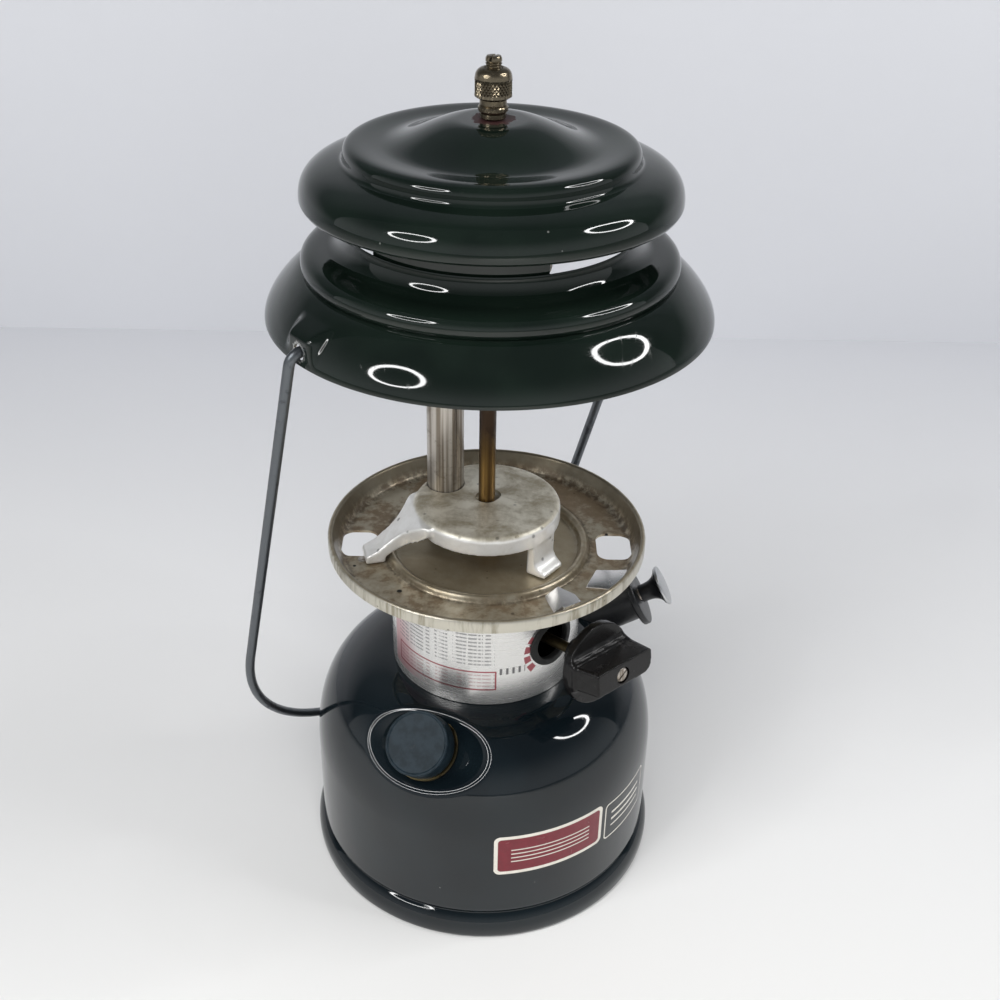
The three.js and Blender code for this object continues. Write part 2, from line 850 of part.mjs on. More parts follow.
function valveBody() {
  const bottom = fountHeight - bushDepth;
  const top = collarBase + valveTop;
  const trunk = turned([
    [valveBore, bottom],
    [valveRadius, bottom],
    [valveRadius, top],
    [nippleRadius, top],
    [nippleRadius, top + nippleHeight],
    [valveBore, top + nippleHeight],
  ], smallSides);
  const arm = placed(disc(armRadius, 0, armReach), valveFrame);
  const bore = disc(valveBore, bottom - cutOverrun, top + nippleHeight + cutOverrun, rodSides);
  const stemBore = placed(disc(stemRadius + runGap, 0, armReach + cutOverrun), valveFrame);
  return cut(join(trunk, arm), bore, stemBore);
}

const pickupTop = fountHeight - bushDepth - seatGap;
addPiece(lantern, "fount_bush", fountBush(), brass);
addPiece(lantern, "valve_body", valveBody(), brass);
addPiece(lantern, "pickup_tube", sleeve(pickupRadius, pickupBore, pickupClearance, pickupTop, rodSides), brass);

const valve = groupAt(valveFrame);
lantern.add(valve);
const knobStart = collarRadius + knobStandoff;
const dialStart = knobStart + knobHubLength;
const knobEnd = dialStart + dialThickness + wingDepth;

function valveKnob() {
  const hub = disc(knobHubRadius, knobStart, dialStart + dialThickness / 2);
  const dial = disc(dialRadius, dialStart, dialStart + dialThickness, roundSides / 2);
  const wing = block(wingWidth, wingHeight, dialStart + dialThickness / 2, knobEnd);
  const socket = disc(stemRadius + seatGap, knobStart - cutOverrun, knobEnd - knobScrewDepth);
  const screwSeat = disc(knobScrewRadius + seatGap, knobEnd - knobScrewDepth, knobEnd + cutOverrun);
  return cut(join(hub, dial, wing), socket, screwSeat);
}

function knobScrew() {
  const top = knobEnd + knobScrewProud;
  const head = disc(knobScrewRadius, knobEnd - knobScrewDepth + seatGap, top, rodSides);
  const slot = block(2 * knobScrewRadius + cutOverrun, knobScrewSlot, top - knobScrewSlot, top + cutOverrun);
  return cut(head, slot);
}

const packingStart = armReach + seatGap;
const packing = hexNut(packingRadius, stemRadius + runGap, packingStart, packingStart + packingReach);
addPiece(valve, "packing_nut", packing, brass);
const stemEnd = knobEnd - knobScrewDepth - seatGap;
addPiece(valve, "valve_stem", disc(stemRadius, stemStart, stemEnd, rodSides), brass);
addPiece(valve, "valve_knob", valveKnob(), blackPlastic);
addPiece(valve, "valve_knob_screw", knobScrew(), tubeSteel);

// Globe rest
function globeRest() {
  const hubEdge = dishBeadRadius - dishBeadWidth;
  const beadFoot = dishBeadRadius + dishBeadWidth;
  const wallFoot = dishFloorRadius + dishSheet;
  const rimInner = dishRadius - dishRimInset;
  const rimTop = dishFloor + dishRimHeight;
  const face = [
    [0, dishHub],
    [hubEdge, dishHub],
    [dishBeadRadius - dishBeadWidth / 3, dishFloor + dishBeadHeight],
    [dishBeadRadius + dishBeadWidth / 3, dishFloor + dishBeadHeight],
    [beadFoot, dishFloor],
    [dishFloorRadius, dishFloor],
    [wallFoot, dishFloor + dishSheet],
    [rimInner, rimTop - dishSheet],
    [rimInner + dishSheet / 2, rimTop],
    [dishRadius - dishSheet / 3, rimTop],
    [dishRadius, rimTop - dishSheet],
  ];
  const under = [
    [dishRadius, rimTop - dishBandHeight],
    [dishRadius - dishSheet, rimTop - dishBandHeight],
    [wallFoot + dishSheet, dishFloor],
    [dishFloorRadius + dishSheet, dishFloor - dishSheet],
    [beadFoot - dishSheet, dishFloor - dishSheet],
    [dishBeadRadius, dishFloor + dishBeadHeight - dishSheet],
    [hubEdge + dishSheet, dishHub - dishSheet],
    [0, dishHub - dishSheet],
  ];
  const holeShape = roundedRectangle(matchHoleDeep, matchHoleWide, matchHoleCorner);
  const hole = plate(holeShape, dishFloor - dishSheet - cutOverrun, dishFloor + dishSheet + cutOverrun, cornerSteps);
  const low = dishHub - dishSheet - cutOverrun;
  const high = dishHub + cutOverrun;
  const nutHole = disc(jamNutRadius + runGap, low, high);
  const airHole = moved(disc(airTubeRadius + seatGap, low, high), airTubeX, airTubeY, 0);
  const screwHoles = bridgeFeet().map(([x, y]) => {
    return moved(disc(bridgeScrewRadius + seatGap, low, dishFloor + cutOverrun, rodSides), x, y, 0);
  });
  return cut(
    turned([...face, ...under]),
    moved(hole, matchHoleX, matchHoleBehind, 0),
    moved(hole, -matchHoleX, matchHoleBehind, 0),
    nutHole,
    airHole,
    ...screwHoles,
  );
}

// Where the bridge's feet take their screws.
function bridgeFeet() {
  const foot = (azimuth, radius) => {
    const point = heading(azimuth, 0).multiplyScalar(radius);
    return [point.x, point.y];
  };
  const longFoot = (longLegKnee + longLegReach) / 2 + bridgeScrewRadius;
  const shortFoot = shortLegReach - legThickness - bridgeScrewRadius / 2;
  return [
    foot(longLegAzimuthDegrees, longFoot),
    foot(shortLegAzimuthDegrees, shortFoot),
    foot(rearLegAzimuthDegrees, shortFoot),
  ];
}

// A leg: its side view, drawn outward from the axis, as wide as the leg.
function bridgeLeg(sidePoints, azimuth) {
  const shape = new THREE.Shape(sidePoints.map(([r, z]) => new THREE.Vector2(r, z)));
  const options = { depth: legWidth, bevelEnabled: false };
  const side = new THREE.ExtrudeGeometry(shape, options).translate(0, 0, -legWidth / 2);
  return side.rotateX(Math.PI / 2).rotateZ(radians(azimuth - 90));
}

function bridge() {
  const lipBottom = bridgeTop - bridgeLip;
  const inner = bridgeRadius - bridgeWall;
  const top = turned([
    [0, bridgeTop],
    [bridgeRadius - bridgeRound, bridgeTop],
    [bridgeRadius, bridgeTop - bridgeRound],
    [bridgeRadius, lipBottom],
    [inner, lipBottom],
    [inner, bridgeTop - bridgeWall],
    [0, bridgeTop - bridgeWall],
  ]);
  const floor = dishFloor + seatGap;
  const hub = dishHub + seatGap;
  const beadClear = dishFloor + dishBeadHeight + seatGap;
  const longLeg = bridgeLeg([
    [inner, lipBottom],
    [longLegKnee - 2 * legThickness, beadClear + bridgeWall],
    [longLegKnee, beadClear],
    [longLegKnee + seatGap, floor],
    [longLegReach, floor],
    [longLegReach, floor + legThickness],
    [longLegKnee + legThickness, beadClear + legThickness],
    [bridgeRadius, bridgeTop - bridgeRound],
    [inner, bridgeTop - bridgeRound],
  ], longLegAzimuthDegrees);
  const shortSide = [
    [inner, lipBottom],
    [bridgeRadius - bridgeWall / 2, hub + legThickness],
    [inner - bridgeWall / 2, hub + legThickness],
    [inner - bridgeWall / 2, hub],
    [shortLegReach, hub],
    [shortLegReach, hub + legThickness],
    [bridgeRadius + bridgeWall / 2, lipBottom],
    [bridgeRadius, bridgeTop - bridgeRound],
    [inner, bridgeTop - bridgeRound],
  ];
  const slotEnd = new THREE.Vector2(generatorX, generatorY);
  const slotStart = new THREE.Vector2(bridgeSlotLength - 2 * bridgeSlotRadius, 0).add(slotEnd);
  const slot = plate(stadium(bridgeSlotRadius, slotEnd, slotStart), lipBottom, bridgeTop + cutOverrun);
  const airHole = disc(airTubeRadius + seatGap, lipBottom, bridgeTop + cutOverrun);
  const screwHoles = bridgeFeet().map(([x, y]) => {
    const bore = disc(bridgeScrewRadius + seatGap, hub - cutOverrun, hub + bridgeScrewLength, rodSides);
    return moved(bore, x, y, 0);
  });
  return cut(
    join(top, longLeg, bridgeLeg(shortSide, shortLegAzimuthDegrees), bridgeLeg(shortSide, rearLegAzimuthDegrees)),
    slot,
    moved(airHole, airTubeX, airTubeY, 0),
    ...screwHoles,
  );
}

// A screw from below, head under the dish.
function bridgeScrew(underside) {
  const headTop = underside - seatGap;
  const headBottom = headTop - bridgeScrewHead;
  const outline = [
    [0, headBottom],
    [bridgeScrewHeadRadius, headBottom],
    [bridgeScrewHeadRadius, headTop],
    [bridgeScrewRadius, headTop],
    [bridgeScrewRadius, headTop + bridgeScrewLength],
    [0, headTop + bridgeScrewLength],
  ];
  const width = 2 * bridgeScrewHeadRadius + cutOverrun;
  const slot = block(width, screwSlotWidth, headBottom - cutOverrun, headBottom + screwSlotDepth);
  return cut(turned(outline, rodSides), slot);
}

addPiece(lantern, "globe_rest", globeRest(), dishNickel);
addPiece(lantern, "bridge", bridge(), castMetal);
bridgeFeet().forEach(([x, y], i) => {
  const underside = (i === 0 ? dishFloor : dishHub) - dishSheet;
  addPiece(lantern, `bridge_screw_${i + 1}`, moved(bridgeScrew(underside), x, y, 0), tubeSteel);
});

// Burner column: air tube, generator, mixing chamber and burner
const generatorBase = collarBase + valveTop + nippleHeight + seatGap;
const gasTipBase = manifoldBase - gasTipHeight;

function manifold() {
  const start = new THREE.Vector2(airTubeX, airTubeY);
  const end = new THREE.Vector2(burnerX, burnerY);
  const outer = plate(stadium(manifoldRadius, start, end), manifoldBase, manifoldTop);
  const chamberRadius = manifoldRadius - manifoldWall;
  const chamberTop = manifoldTop - manifoldWall;
  const chamber = plate(stadium(chamberRadius, start, end), manifoldBase + manifoldWall, chamberTop);
  const sleeveAt = (radius, x, y) => {
    const low = manifoldBase - manifoldSleeve;
    return moved(disc(radius, low, manifoldBase + manifoldWall / 2), x, y, 0);
  };
  const boreAt = (radius, x, y) => {
    const low = manifoldBase - manifoldSleeve - cutOverrun;
    return moved(disc(radius, low, manifoldBase + manifoldWall + cutOverrun), x, y, 0);
  };
  const studSeat = disc(studRadius + seatGap, chamberTop - cutOverrun, manifoldTop + cutOverrun, rodSides);
  const body = join(
    outer,
    sleeveAt(manifoldRadius, airTubeX, airTubeY),
    sleeveAt(burnerTubeRadius + manifoldWall, burnerX, burnerY),
  );
  return cut(
    body,
    chamber,
    boreAt(airTubeRadius + seatGap, airTubeX, airTubeY),
    boreAt(burnerTubeRadius + seatGap, burnerX, burnerY),
    boreAt(gasTipShank + seatGap, generatorX, generatorY),
    studSeat,
  );
}

function ventStud() {
  const shoulder = capTop - ventSheet - seatGap;
  return turned([
    [0, manifoldTop - manifoldWall + seatGap],
    [studRadius, manifoldTop - manifoldWall + seatGap],
    [studRadius, manifoldTop + seatGap],
    [studShoulderRadius, manifoldTop + seatGap],
    [studShoulderRadius, shoulder],
    [studRadius, shoulder],
    [studRadius, studTop],
    [0, studTop],
  ], rodSides);
}

function gasTip() {
  return turned([
    [gasTipBore, gasTipBase],
    [gasTipRadius, gasTipBase],
    [gasTipRadius, manifoldBase - seatGap],
    [gasTipShank, manifoldBase - seatGap],
    [gasTipShank, manifoldBase + manifoldWall],
    [gasTipBore, manifoldBase + manifoldWall],
  ], hexSides);
}

function burnerCap() {
  const top = manifoldBase - manifoldSleeve - seatGap;
  const bottom = top - burnerTubeHeight;
  const bore = burnerTubeRadius + seatGap;
  const cup = turned([
    [0, bottom],
    [burnerCapRadius, bottom],
    [burnerCapRadius, bottom + burnerCapHeight],
    [bore, bottom + burnerCapHeight],
    [bore, bottom + burnerCapHeight - burnerCapWall],
    [burnerCapRadius - burnerCapWall, bottom + burnerCapHeight - burnerCapWall],
    [burnerCapRadius - burnerCapWall, bottom + burnerCapWall],
    [0, bottom + burnerCapWall],
  ], smallSides);
  const holes = [];
  for (let i = 0; i < burnerCapHoles; i += 1) {
    const turn = 2 * Math.PI * i / burnerCapHoles;
    const hole = disc(burnerCapHoleRadius, bottom - cutOverrun, bottom + burnerCapWall + cutOverrun, hexSides);
    holes.push(moved(hole, burnerCapHoleRing * Math.cos(turn), burnerCapHoleRing * Math.sin(turn), 0));
  }
  return cut(cup, ...holes);
}

const burnerBottom = manifoldBase - manifoldSleeve - seatGap - burnerTubeHeight;
const burnerTubeLow = burnerBottom + burnerCapHeight - burnerCapWall;
const mantleTop = burnerBottom + mantleNeck;
const mantleShares = [[1, 0.2], [1, 0.45], [0.93, 0.68], [0.7, 0.87], [0.35, 0.97], [0, 1]];

// Mantle: a bag tied round the burner cap, open at the top.
function mantle() {
  const neckOuter = burnerCapRadius + seatGap + mantleWall;
  const bag = mantleShares.map(([out, down]) => [out * mantleRadius, mantleTop - down * mantleLength]);
  const outer = [[neckOuter, mantleTop], [neckOuter, mantleTop - mantleNeck], ...bag];
  const inner = offsetOutline(outer, mantleWall).map(([r, z]) => [Math.max(r, 0), z]);
  return turned([...outer, ...inner.reverse()], rodSides);
}

const airTubeLow = dishHub - airTubeDip;
const airTubeHigh = manifoldBase + manifoldWall / 2;
const airTube = sleeve(airTubeRadius, airTubeBore, airTubeLow, airTubeHigh);
addPiece(lantern, "air_tube", moved(airTube, airTubeX, airTubeY, 0), tubeSteel);
const jamNutBase = collarBase + valveTop + seatGap;

function jamNut() {
  const top = jamNutBase + jamNutHeight;
  const seat = jamNutBase + nippleHeight;
  const nut = disc(jamNutRadius, jamNutBase, top, hexSides);
  const nippleBore = disc(nippleRadius + seatGap, jamNutBase - cutOverrun, seat);
  const offset = [generatorX, generatorY, 0];
  const tubeBore = moved(disc(generatorRadius + seatGap, seat - cutOverrun, top + cutOverrun), ...offset);
  return cut(nut, nippleBore, tubeBore);
}

function cleaningNeedle() {
  const tipTop = gasTipBase - needleTipGap;
  const shankTop = tipTop - needleTipLength;
  const bottom = generatorBase - needleDrop;
  return turned([
    [0, bottom],
    [needleRadius, bottom],
    [needleRadius, shankTop],
    [needleTipRadius, shankTop],
    [needleTipRadius, tipTop],
    [0, tipTop],
  ], hexSides);
}

addPiece(lantern, "generator_jam_nut", jamNut(), brass);
addPiece(lantern, "cleaning_needle", moved(cleaningNeedle(), generatorX, generatorY, 0), tubeSteel);
const generator = sleeve(generatorRadius, generatorBore, generatorBase, gasTipBase - seatGap, rodSides);
addPiece(lantern, "generator_tube", moved(generator, generatorX, generatorY, 0), brass);
addPiece(lantern, "gas_tip", moved(gasTip(), generatorX, generatorY, 0), brass);
addPiece(lantern, "mixing_chamber", manifold(), castMetal);
addPiece(lantern, "ventilator_stud", ventStud(), tubeSteel);
const burnerTube = sleeve(burnerTubeRadius, burnerTubeBore, burnerTubeLow, manifoldBase + manifoldWall / 2);
addPiece(lantern, "burner_tube", moved(burnerTube, burnerX, burnerY, 0), tubeSteel);
addPiece(lantern, "burner_cap", moved(burnerCap(), burnerX, burnerY, 0), ceramic);
addPiece(lantern, "mantle", moved(mantle(), burnerX, burnerY, 0), ceramic);

// Ventilator

function skirtFace() {
  const flare = curve(
    [skirtRadius, skirtRim],
    [skirtRadius, skirtRim + skirtFlareDrop],
    [skirtFlareStart + skirtFlareRun, skirtFlareTop],
    [skirtFlareStart, skirtFlareTop],
    flareSteps,
  );
  const bandBase = skirtFlareTop + (skirtTop - skirtFlareTop) / 3;
  const band = curve(
    [skirtBandRadius, bandBase],
    [skirtBandRadius, skirtTop],
    [(skirtBandRadius + skirtShoulderRadius) / 2, skirtTop],
    [skirtShoulderRadius, skirtTop],
    bandSteps,
  );
  return [...flare, ...band];
}

// The neck rises from the skirt's top and draws in to the sill of the windows.
function neckFace() {
  return curve(
    [skirtShoulderRadius, skirtTop],
    [(skirtShoulderRadius + neckTopRadius) / 2, skirtTop],
    [neckTopRadius, skirtTop + neckRise / 3],
    [neckTopRadius, neckSill],
    bandSteps,
  );
}

// The flat ears that the bail hooks into are pressed out of the flare on both sides.
function ventilatorSkirt() {
  const face = skirtRadius - earInset;
  const inside = face - ventSheet;
  const back = face / 2;
  const earTop = skirtRim + earHeight;
  const ear = (width, outer, bottom, top) => {
    return block(outer - back, width, bottom, top).translate((outer + back) / 2, 0, 0);
  };
  const earBase = skirtRim + earLift;
  const midSheet = offsetOutline(skirtFace(), -ventSheet / 2);
  const middle = turned([[0, skirtRim - ventSheet], ...midSheet, [0, skirtTop - ventSheet / 2]]);
  const skirt = turned(sheetOf([...skirtFace(), ...neckFace().slice(1)], ventSheet));
  const pieces = [0, Math.PI].map((turn) => {
    const place = (geometry) => geometry.rotateZ(radians(pivotAzimuthDegrees - 90) + turn);
    return {
      outside: place(ear(earWidth, face, earBase, earTop)),
      hollow: place(ear(earWidth - 2 * ventSheet, inside, earBase + ventSheet, earTop - ventSheet)),
      hole: place(disc(pivotHoleRadius, 0, skirtRadius + cutOverrun, rodSides)
        .rotateY(Math.PI / 2).translate(0, 0, pivotHeight)),
    };
  });
  const walls = pieces.map(({ outside }) => cut(outside, middle));
  const trimmed = cut(join(skirt, ...walls), ...pieces.map(({ hollow }) => hollow));
  return cut(trimmed, ...pieces.map(({ hole }) => hole));
}

function capFace() {
  const rimRise = capRimCurl / 2;
  const flare = curve(
    [capRimRadius, capRim + capRimCurl],
    [capRimRadius, capRim + capRimCurl + capRimBulge],
    [capFlareStart + capFlareRun, capFlareTop - capFlareDrop],
    [capFlareStart, capFlareTop],
    flareSteps,
  );
  const crown = curve(
    [crownRadius, crownTop],
    [(2 * crownRadius + valleyRadius) / 3, 2 * crownTop - valley],
    [(crownRadius + 2 * valleyRadius) / 3, valley],
    [valleyRadius, valley],
    bandSteps,
  );
  const bell = curve(
    [valleyRadius, valley],
    [(2 * valleyRadius + domeTopRadius) / 3, valley],
    [(valleyRadius + 2 * domeTopRadius) / 3, capTop],
    [domeTopRadius, capTop],
    bellSteps,
  );
  const rim = [[capRimRadius - rimRise / 2, capRim], [capRimRadius, capRim + rimRise]];
  return [...rim, ...flare, ...crown, ...bell.slice(1), [studHoleRadius, capTop]];
}

// A curved strap that carries the cap: its foot laps the neck from inside, its head lies under the cap.
function ventilatorTab(azimuth) {
  const outer = neckTopRadius - ventSheet - seatGap;
  const inner = outer - neckTabSheet;
  const bottom = neckSill - neckTabLap;
  const top = capFlareTop - capFlareDrop / 2 - ventSheet - seatGap;
  const ring = turned([
    [inner, bottom],
    [outer, bottom],
    [outer, top - neckTabSheet],
    [outer + neckTabFlange, top - neckTabSheet],
    [outer + neckTabFlange, top],
    [inner, top],
  ]);
  const half = radians(neckTabDegrees / 2);
  const reach = neckRadius / Math.cos(half / 2);
  const corners = [-half, -half / 2, half / 2, half].map((turn) => {
    return new THREE.Vector2(reach * Math.cos(turn), reach * Math.sin(turn));
  });
  const share = new THREE.Shape([new THREE.Vector2(0, 0), ...corners]);
  const wedge = plate(share, bottom - cutOverrun, top + cutOverrun).rotateZ(radians(azimuth - 90));
  return overlapOf(ring, wedge);
}

function ballNut() {
  const foot = capTop + seatGap;
  const ballBase = foot + nutNeckHeight;
  const top = foot + nutHeight;
  const ball = curve(
    [nutNeckRadius, ballBase],
    [2 * nutRadius - nutNeckRadius, ballBase + (top - ballBase) / 5],
    [2 * nutRadius - nutNeckRadius, top],
    [nutBore, top],
    bellSteps,
  );
  return turned([
    [nutBore, foot],
    [nutFootRadius, foot],
    [nutFootRadius, foot + nutFootHeight],
    [nutNeckRadius, foot + nutFootHeight],
    ...ball,
  ], smallSides);
}

addPiece(lantern, "ventilator_skirt", ventilatorSkirt(), ventEnamel);
for (let i = 0; i < neckTabs; i += 1) {
  const azimuth = neckTabAzimuthDegrees + 360 * i / neckTabs;
  addPiece(lantern, `ventilator_tab_${i + 1}`, ventilatorTab(azimuth), ventEnamel);
}
addPiece(lantern, "ventilator_cap", turned(sheetOf(capFace(), ventSheet)), ventEnamel);
addPiece(lantern, "ball_nut", ballNut(), nutMetal);

// Bail, in its own frame: X runs along the pivots, Y down the bail's lean
const bailLeanFrame = new THREE.Matrix4();
const pivotAlong = heading(pivotAzimuthDegrees, 0);
const bailDown = heading(pivotAzimuthDegrees - 90, bailLeanDegrees - 90);
bailLeanFrame.makeBasis(pivotAlong, bailDown, new THREE.Vector3().crossVectors(pivotAlong, bailDown));
bailLeanFrame.setPosition(0, 0, pivotHeight);
const bailGroup = groupAt(bailLeanFrame);
lantern.add(bailGroup);

// Points of an arc about a centre, from one angle to another in degrees.
function arcPoints(centerX, centerY, radius, from, to, steps) {
  const points = [];
  for (let i = 0; i <= steps; i += 1) {
    const turn = radians(from + (to - from) * i / steps);
    points.push([centerX + radius * Math.cos(turn), centerY + radius * Math.sin(turn)]);
  }
  return points;
}

// Half of the bail: from the hooked end out to the leg and along it.
function bailHalf() {
  const bend = arcPoints(bailRadius - bailBend, bailBend, bailBend, -90, 0, bailBendSteps);
  const legEnd = bailReach - bailRadius;
  const leg = [];
  for (let i = 1; i < bailLegSteps; i += 1) {
    leg.push([bailRadius, bailBend + (legEnd - bailBend) * i / bailLegSteps]);
  }
  return [[bailRadius - bailHook, 0], ...bend, ...leg];
}

// A round wire along a level path of [x, y] points.
function wire(path, radius, sides) {
  const positions = [];
  path.forEach(([x, y], i) => {
    const [beforeX, beforeY] = path[Math.max(i - 1, 0)];
    const [afterX, afterY] = path[Math.min(i + 1, path.length - 1)];
    const run = Math.hypot(afterX - beforeX, afterY - beforeY);
    const sideX = (afterY - beforeY) / run;
    const sideY = (beforeX - afterX) / run;
    for (let k = 0; k < sides; k += 1) {
      const turn = 2 * Math.PI * k / sides;
      const out = radius * Math.cos(turn);
      positions.push(x + sideX * out, y + sideY * out, radius * Math.sin(turn));
    }
  });
  const faces = [];
  const last = (path.length - 1) * sides;
  for (let i = 0; i < path.length - 1; i += 1) {
    for (let k = 0; k < sides; k += 1) {
      const a = i * sides + k;
      const b = i * sides + (k + 1) % sides;
      faces.push(a, a + sides, b, b, a + sides, b + sides);
    }
  }
  for (let k = 1; k < sides - 1; k += 1) {
    faces.push(0, k, k + 1, last, last + k + 1, last + k);
  }
  const geometry = new THREE.BufferGeometry();
  geometry.setAttribute("position", new THREE.Float32BufferAttribute(positions, 3));
  geometry.setIndex(faces);
  return geometry;
}

function bail() {
  const half = bailHalf();
  const arc = arcPoints(0, bailReach - bailRadius, bailRadius, 0, 180, bailArcSteps);
  const otherHalf = half.map(([x, y]) => [-x, y]).reverse();
  return wire([...half, ...arc, ...otherHalf], bailWire / 2, wireSides);
}

addPiece(bailGroup, "bail", bail(), wireSteel);

export default lantern;
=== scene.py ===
import bpy
import bmesh
import math
from mathutils import Matrix, Vector

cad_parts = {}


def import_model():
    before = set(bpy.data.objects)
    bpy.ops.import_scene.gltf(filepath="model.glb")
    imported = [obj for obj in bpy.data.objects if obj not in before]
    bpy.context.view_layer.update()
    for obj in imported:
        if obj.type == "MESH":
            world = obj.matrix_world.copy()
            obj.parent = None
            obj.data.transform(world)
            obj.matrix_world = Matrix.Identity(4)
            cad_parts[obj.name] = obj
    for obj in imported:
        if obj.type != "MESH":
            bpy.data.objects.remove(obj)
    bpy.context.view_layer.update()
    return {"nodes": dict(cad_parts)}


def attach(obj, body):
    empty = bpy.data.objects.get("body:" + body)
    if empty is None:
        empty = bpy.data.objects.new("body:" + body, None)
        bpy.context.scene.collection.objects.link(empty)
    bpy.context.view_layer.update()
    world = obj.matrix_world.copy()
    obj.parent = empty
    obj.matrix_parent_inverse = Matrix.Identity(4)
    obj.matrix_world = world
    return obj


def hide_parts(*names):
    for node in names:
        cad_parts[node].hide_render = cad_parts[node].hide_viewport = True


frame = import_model()

# Lengths below are in millimetres
METRES_PER_MM = 0.001
MM_PER_METRE = 1000.0
MERGE_GAP = 0.01
FULL_TURN = 360
OVERRUN = 5.0
PIXELS_WIDE = 1000

# Tank
TANK_RADIUS = 65.0
TANK_TOP = 86.0
TANK_SHEET = 1.0
FOOT_RADIUS = 67.3
FOOT_HEIGHT = 10.5
FOOT_INSIDE = 62.6
GROOVE_RADIUS = 64.3
WALL_TOP = 47.6
DOME_EDGE = 34.9
TANK_HOLE = 10.7
PAN_RADIUS = 62.3
PAN_TOP = 7.8

# Filler
FILLER_PLACE = (-23.709, -50.844, 82.0)
FILLER_AZIMUTH = -25.0
FILLER_LIFT = 47.0
POCKET_FLOOR = -10.2
POCKET_ASIDE = 2.9
POCKET_BELOW = 1.2
POCKET_TURN = 6.0
POCKET_HALF_WIDTH = 21.2
POCKET_HALF_HEIGHT = 13.4
POCKET_SLOPE = 1.15
POCKET_LIP = 4.6
POCKET_FOOT = 5.2
LID_RADIUS = 11.6
LID_LOW = -8.5
LID_BORE = 9.3
LID_WALL = 2.2
NECK_RADIUS = 9.0
NECK_BORE = 7.6
NECK_FLANGE = 12.4
NECK_LOW = -20.2
NECK_HIGH = -3.9

# Printed label, in millimetres along the wall from the front and up from the foot
LABEL_EDGES = (4.2, 48.4, 31.6, 50.4)
LABEL_FIELD = (5.6, 47.0, 33.0, 49.0)
LABEL_STRIPES = (10.5, 42.0, 37.2, 44.8)
SIDE_FRAME = (50.2, 78.2, 30.4, 48.2)
SIDE_FIELD = (50.8, 77.6, 31.0, 47.6)
SIDE_BARS = (54.0, 74.0, 35.5, 43.0)

# Pump
PUMP_PLACE = (61.14, 25.8, 92.02)
PUMP_AZIMUTH = 90.0
PUMP_LIFT = 28.3
PUMP_BODY = 8.8
PUMP_FLANGE = 12.0
PUMP_DEPTH = 29.0
FLANGE_THICK = 2.6
PUMP_BORE = 7.2
ROD_RADIUS = 2.4
ROD_BORE = 1.35
ROD_GAP = 0.5
PUMP_ROD_LOW = -91.0
PUMP_ROD_HIGH = 8.7
KNOB_START = 0.6
KNOB_END = 8.7
DISC_RADIUS = 7.9
DISC_START = 9.0
DISC_END = 11.0

# Collar and valve
COLLAR_RADIUS = 34.9
COLLAR_SHEET = 0.8
COLLAR_LOW = 86.3
COLLAR_HIGH = 131.3
COLLAR_LIP = 29.9
VALVE_HEIGHT = 103.8
VALVE_AZIMUTH = 43.0
VALVE_LIFT = 8.0
RING_RADIUS = 9.8
RING_NECK = 8.6
RING_BORE = 7.2
PACKING_RADIUS = 6.2
PACKING_LOW = 17.3
PACKING_TOP = 23.3
STEM_RADIUS = 2.0
STEM_WAIST = 1.7
STEM_END = 64.2
HUB_RADIUS = 6.0
HUB_START = 47.0
KNOB_GRAIN = 0.36
DIAL_RADIUS = 14.8
DIAL_START = 55.0
DIAL_END = 58.0
WING_WIDTH = 26.5
WING_HEIGHT = 8.8
WING_END = 69.5
WING_TAPER = 2.3
WING_TURN = -3.0
WING_RISE = 0.4
SCREW_SEAT = 3.05
SCREW_RADIUS = 2.7
SCREW_START = 64.8
SCREW_END = 69.3
SCREW_TURN = 0.5
RING_PROUD = 1.2

# Collar print, in millimetres round the collar from the front and up from the foot
PRINT_BLOCK = (-42.0, 4.5, 90.0, 119.0)
PRINT_RULES = (-38.0, 3.4, 103.2, 120.5)
PRINT_FRAME = (-38.0, 4.2, 92.8, 101.4)
PRINT_FIELD = (-37.4, 3.6, 93.4, 100.8)
SCALE_CENTRE = (26.2, 107.0)
SCALE_TICKS = (5.2, 14.8, 99.6, 102.4)

# Globe rest and bridge
DISH_SPOTS = ((48.1, -23.5, 1.2), (-29.7, -30.8, 0.9), (37.6, -33.5, 0.8), (44.0, 6.5, 0.6),
              (-46.5, -16.0, 0.6))
PAD_FRONT = ((19.4, -33.0), (22.3, -42.1), (26.2, -41.3), (32.3, -37.3), (30.5, -33.4), (24.7, -28.8))
PAD_FRONT_TOP = ((24.0, -29.9), (25.9, -40.4))
PAD_RIGHT = ((38.6, -17.4), (34.4, -27.9), (43.1, -29.0), (49.5, -23.4), (51.0, -16.8), (45.5, -17.4))
DISH_HUB = 132.5
DISH_FLOOR = 133.1
DISH_SHEET = 0.9
DISH_RADIUS = 57.05
BEAD_RADIUS = 35.2
BEAD_WIDTH = 2.4
BEAD_TOP = 135.3
BAND_LOW = 135.6
MATCH_HOLE_X = 46.0
MATCH_HOLE_Y = -1.6
MATCH_HOLE_DEEP = 12.5
MATCH_HOLE_WIDE = 16.6
MATCH_HOLE_CORNER = 4.0
BRIDGE_TOP = 151.7
BRIDGE_RADIUS = 26.1
BRIDGE_LIP = 144.6
BRIDGE_WALL = 2.6
BRIDGE_ROUND = 1.3
BRIDGE_GRAIN = 0.55
BRIDGE_CUT = (140, 156)
AIR_HOLE = 6.9
VALVE_HOLE = 6.85
LONG_LEG_WIDTH = 9.0
SHORT_LEG_WIDTH = 10.5
LEG_FAN = 1.9
LEG_FAN_REACH = 12.0
LEG_THICK = 2.8
LONG_LEG = -75.0
SHORT_LEG = 52.0
REAR_LEG = 170.0
CASTING_PIT = (10.4, -23.3)
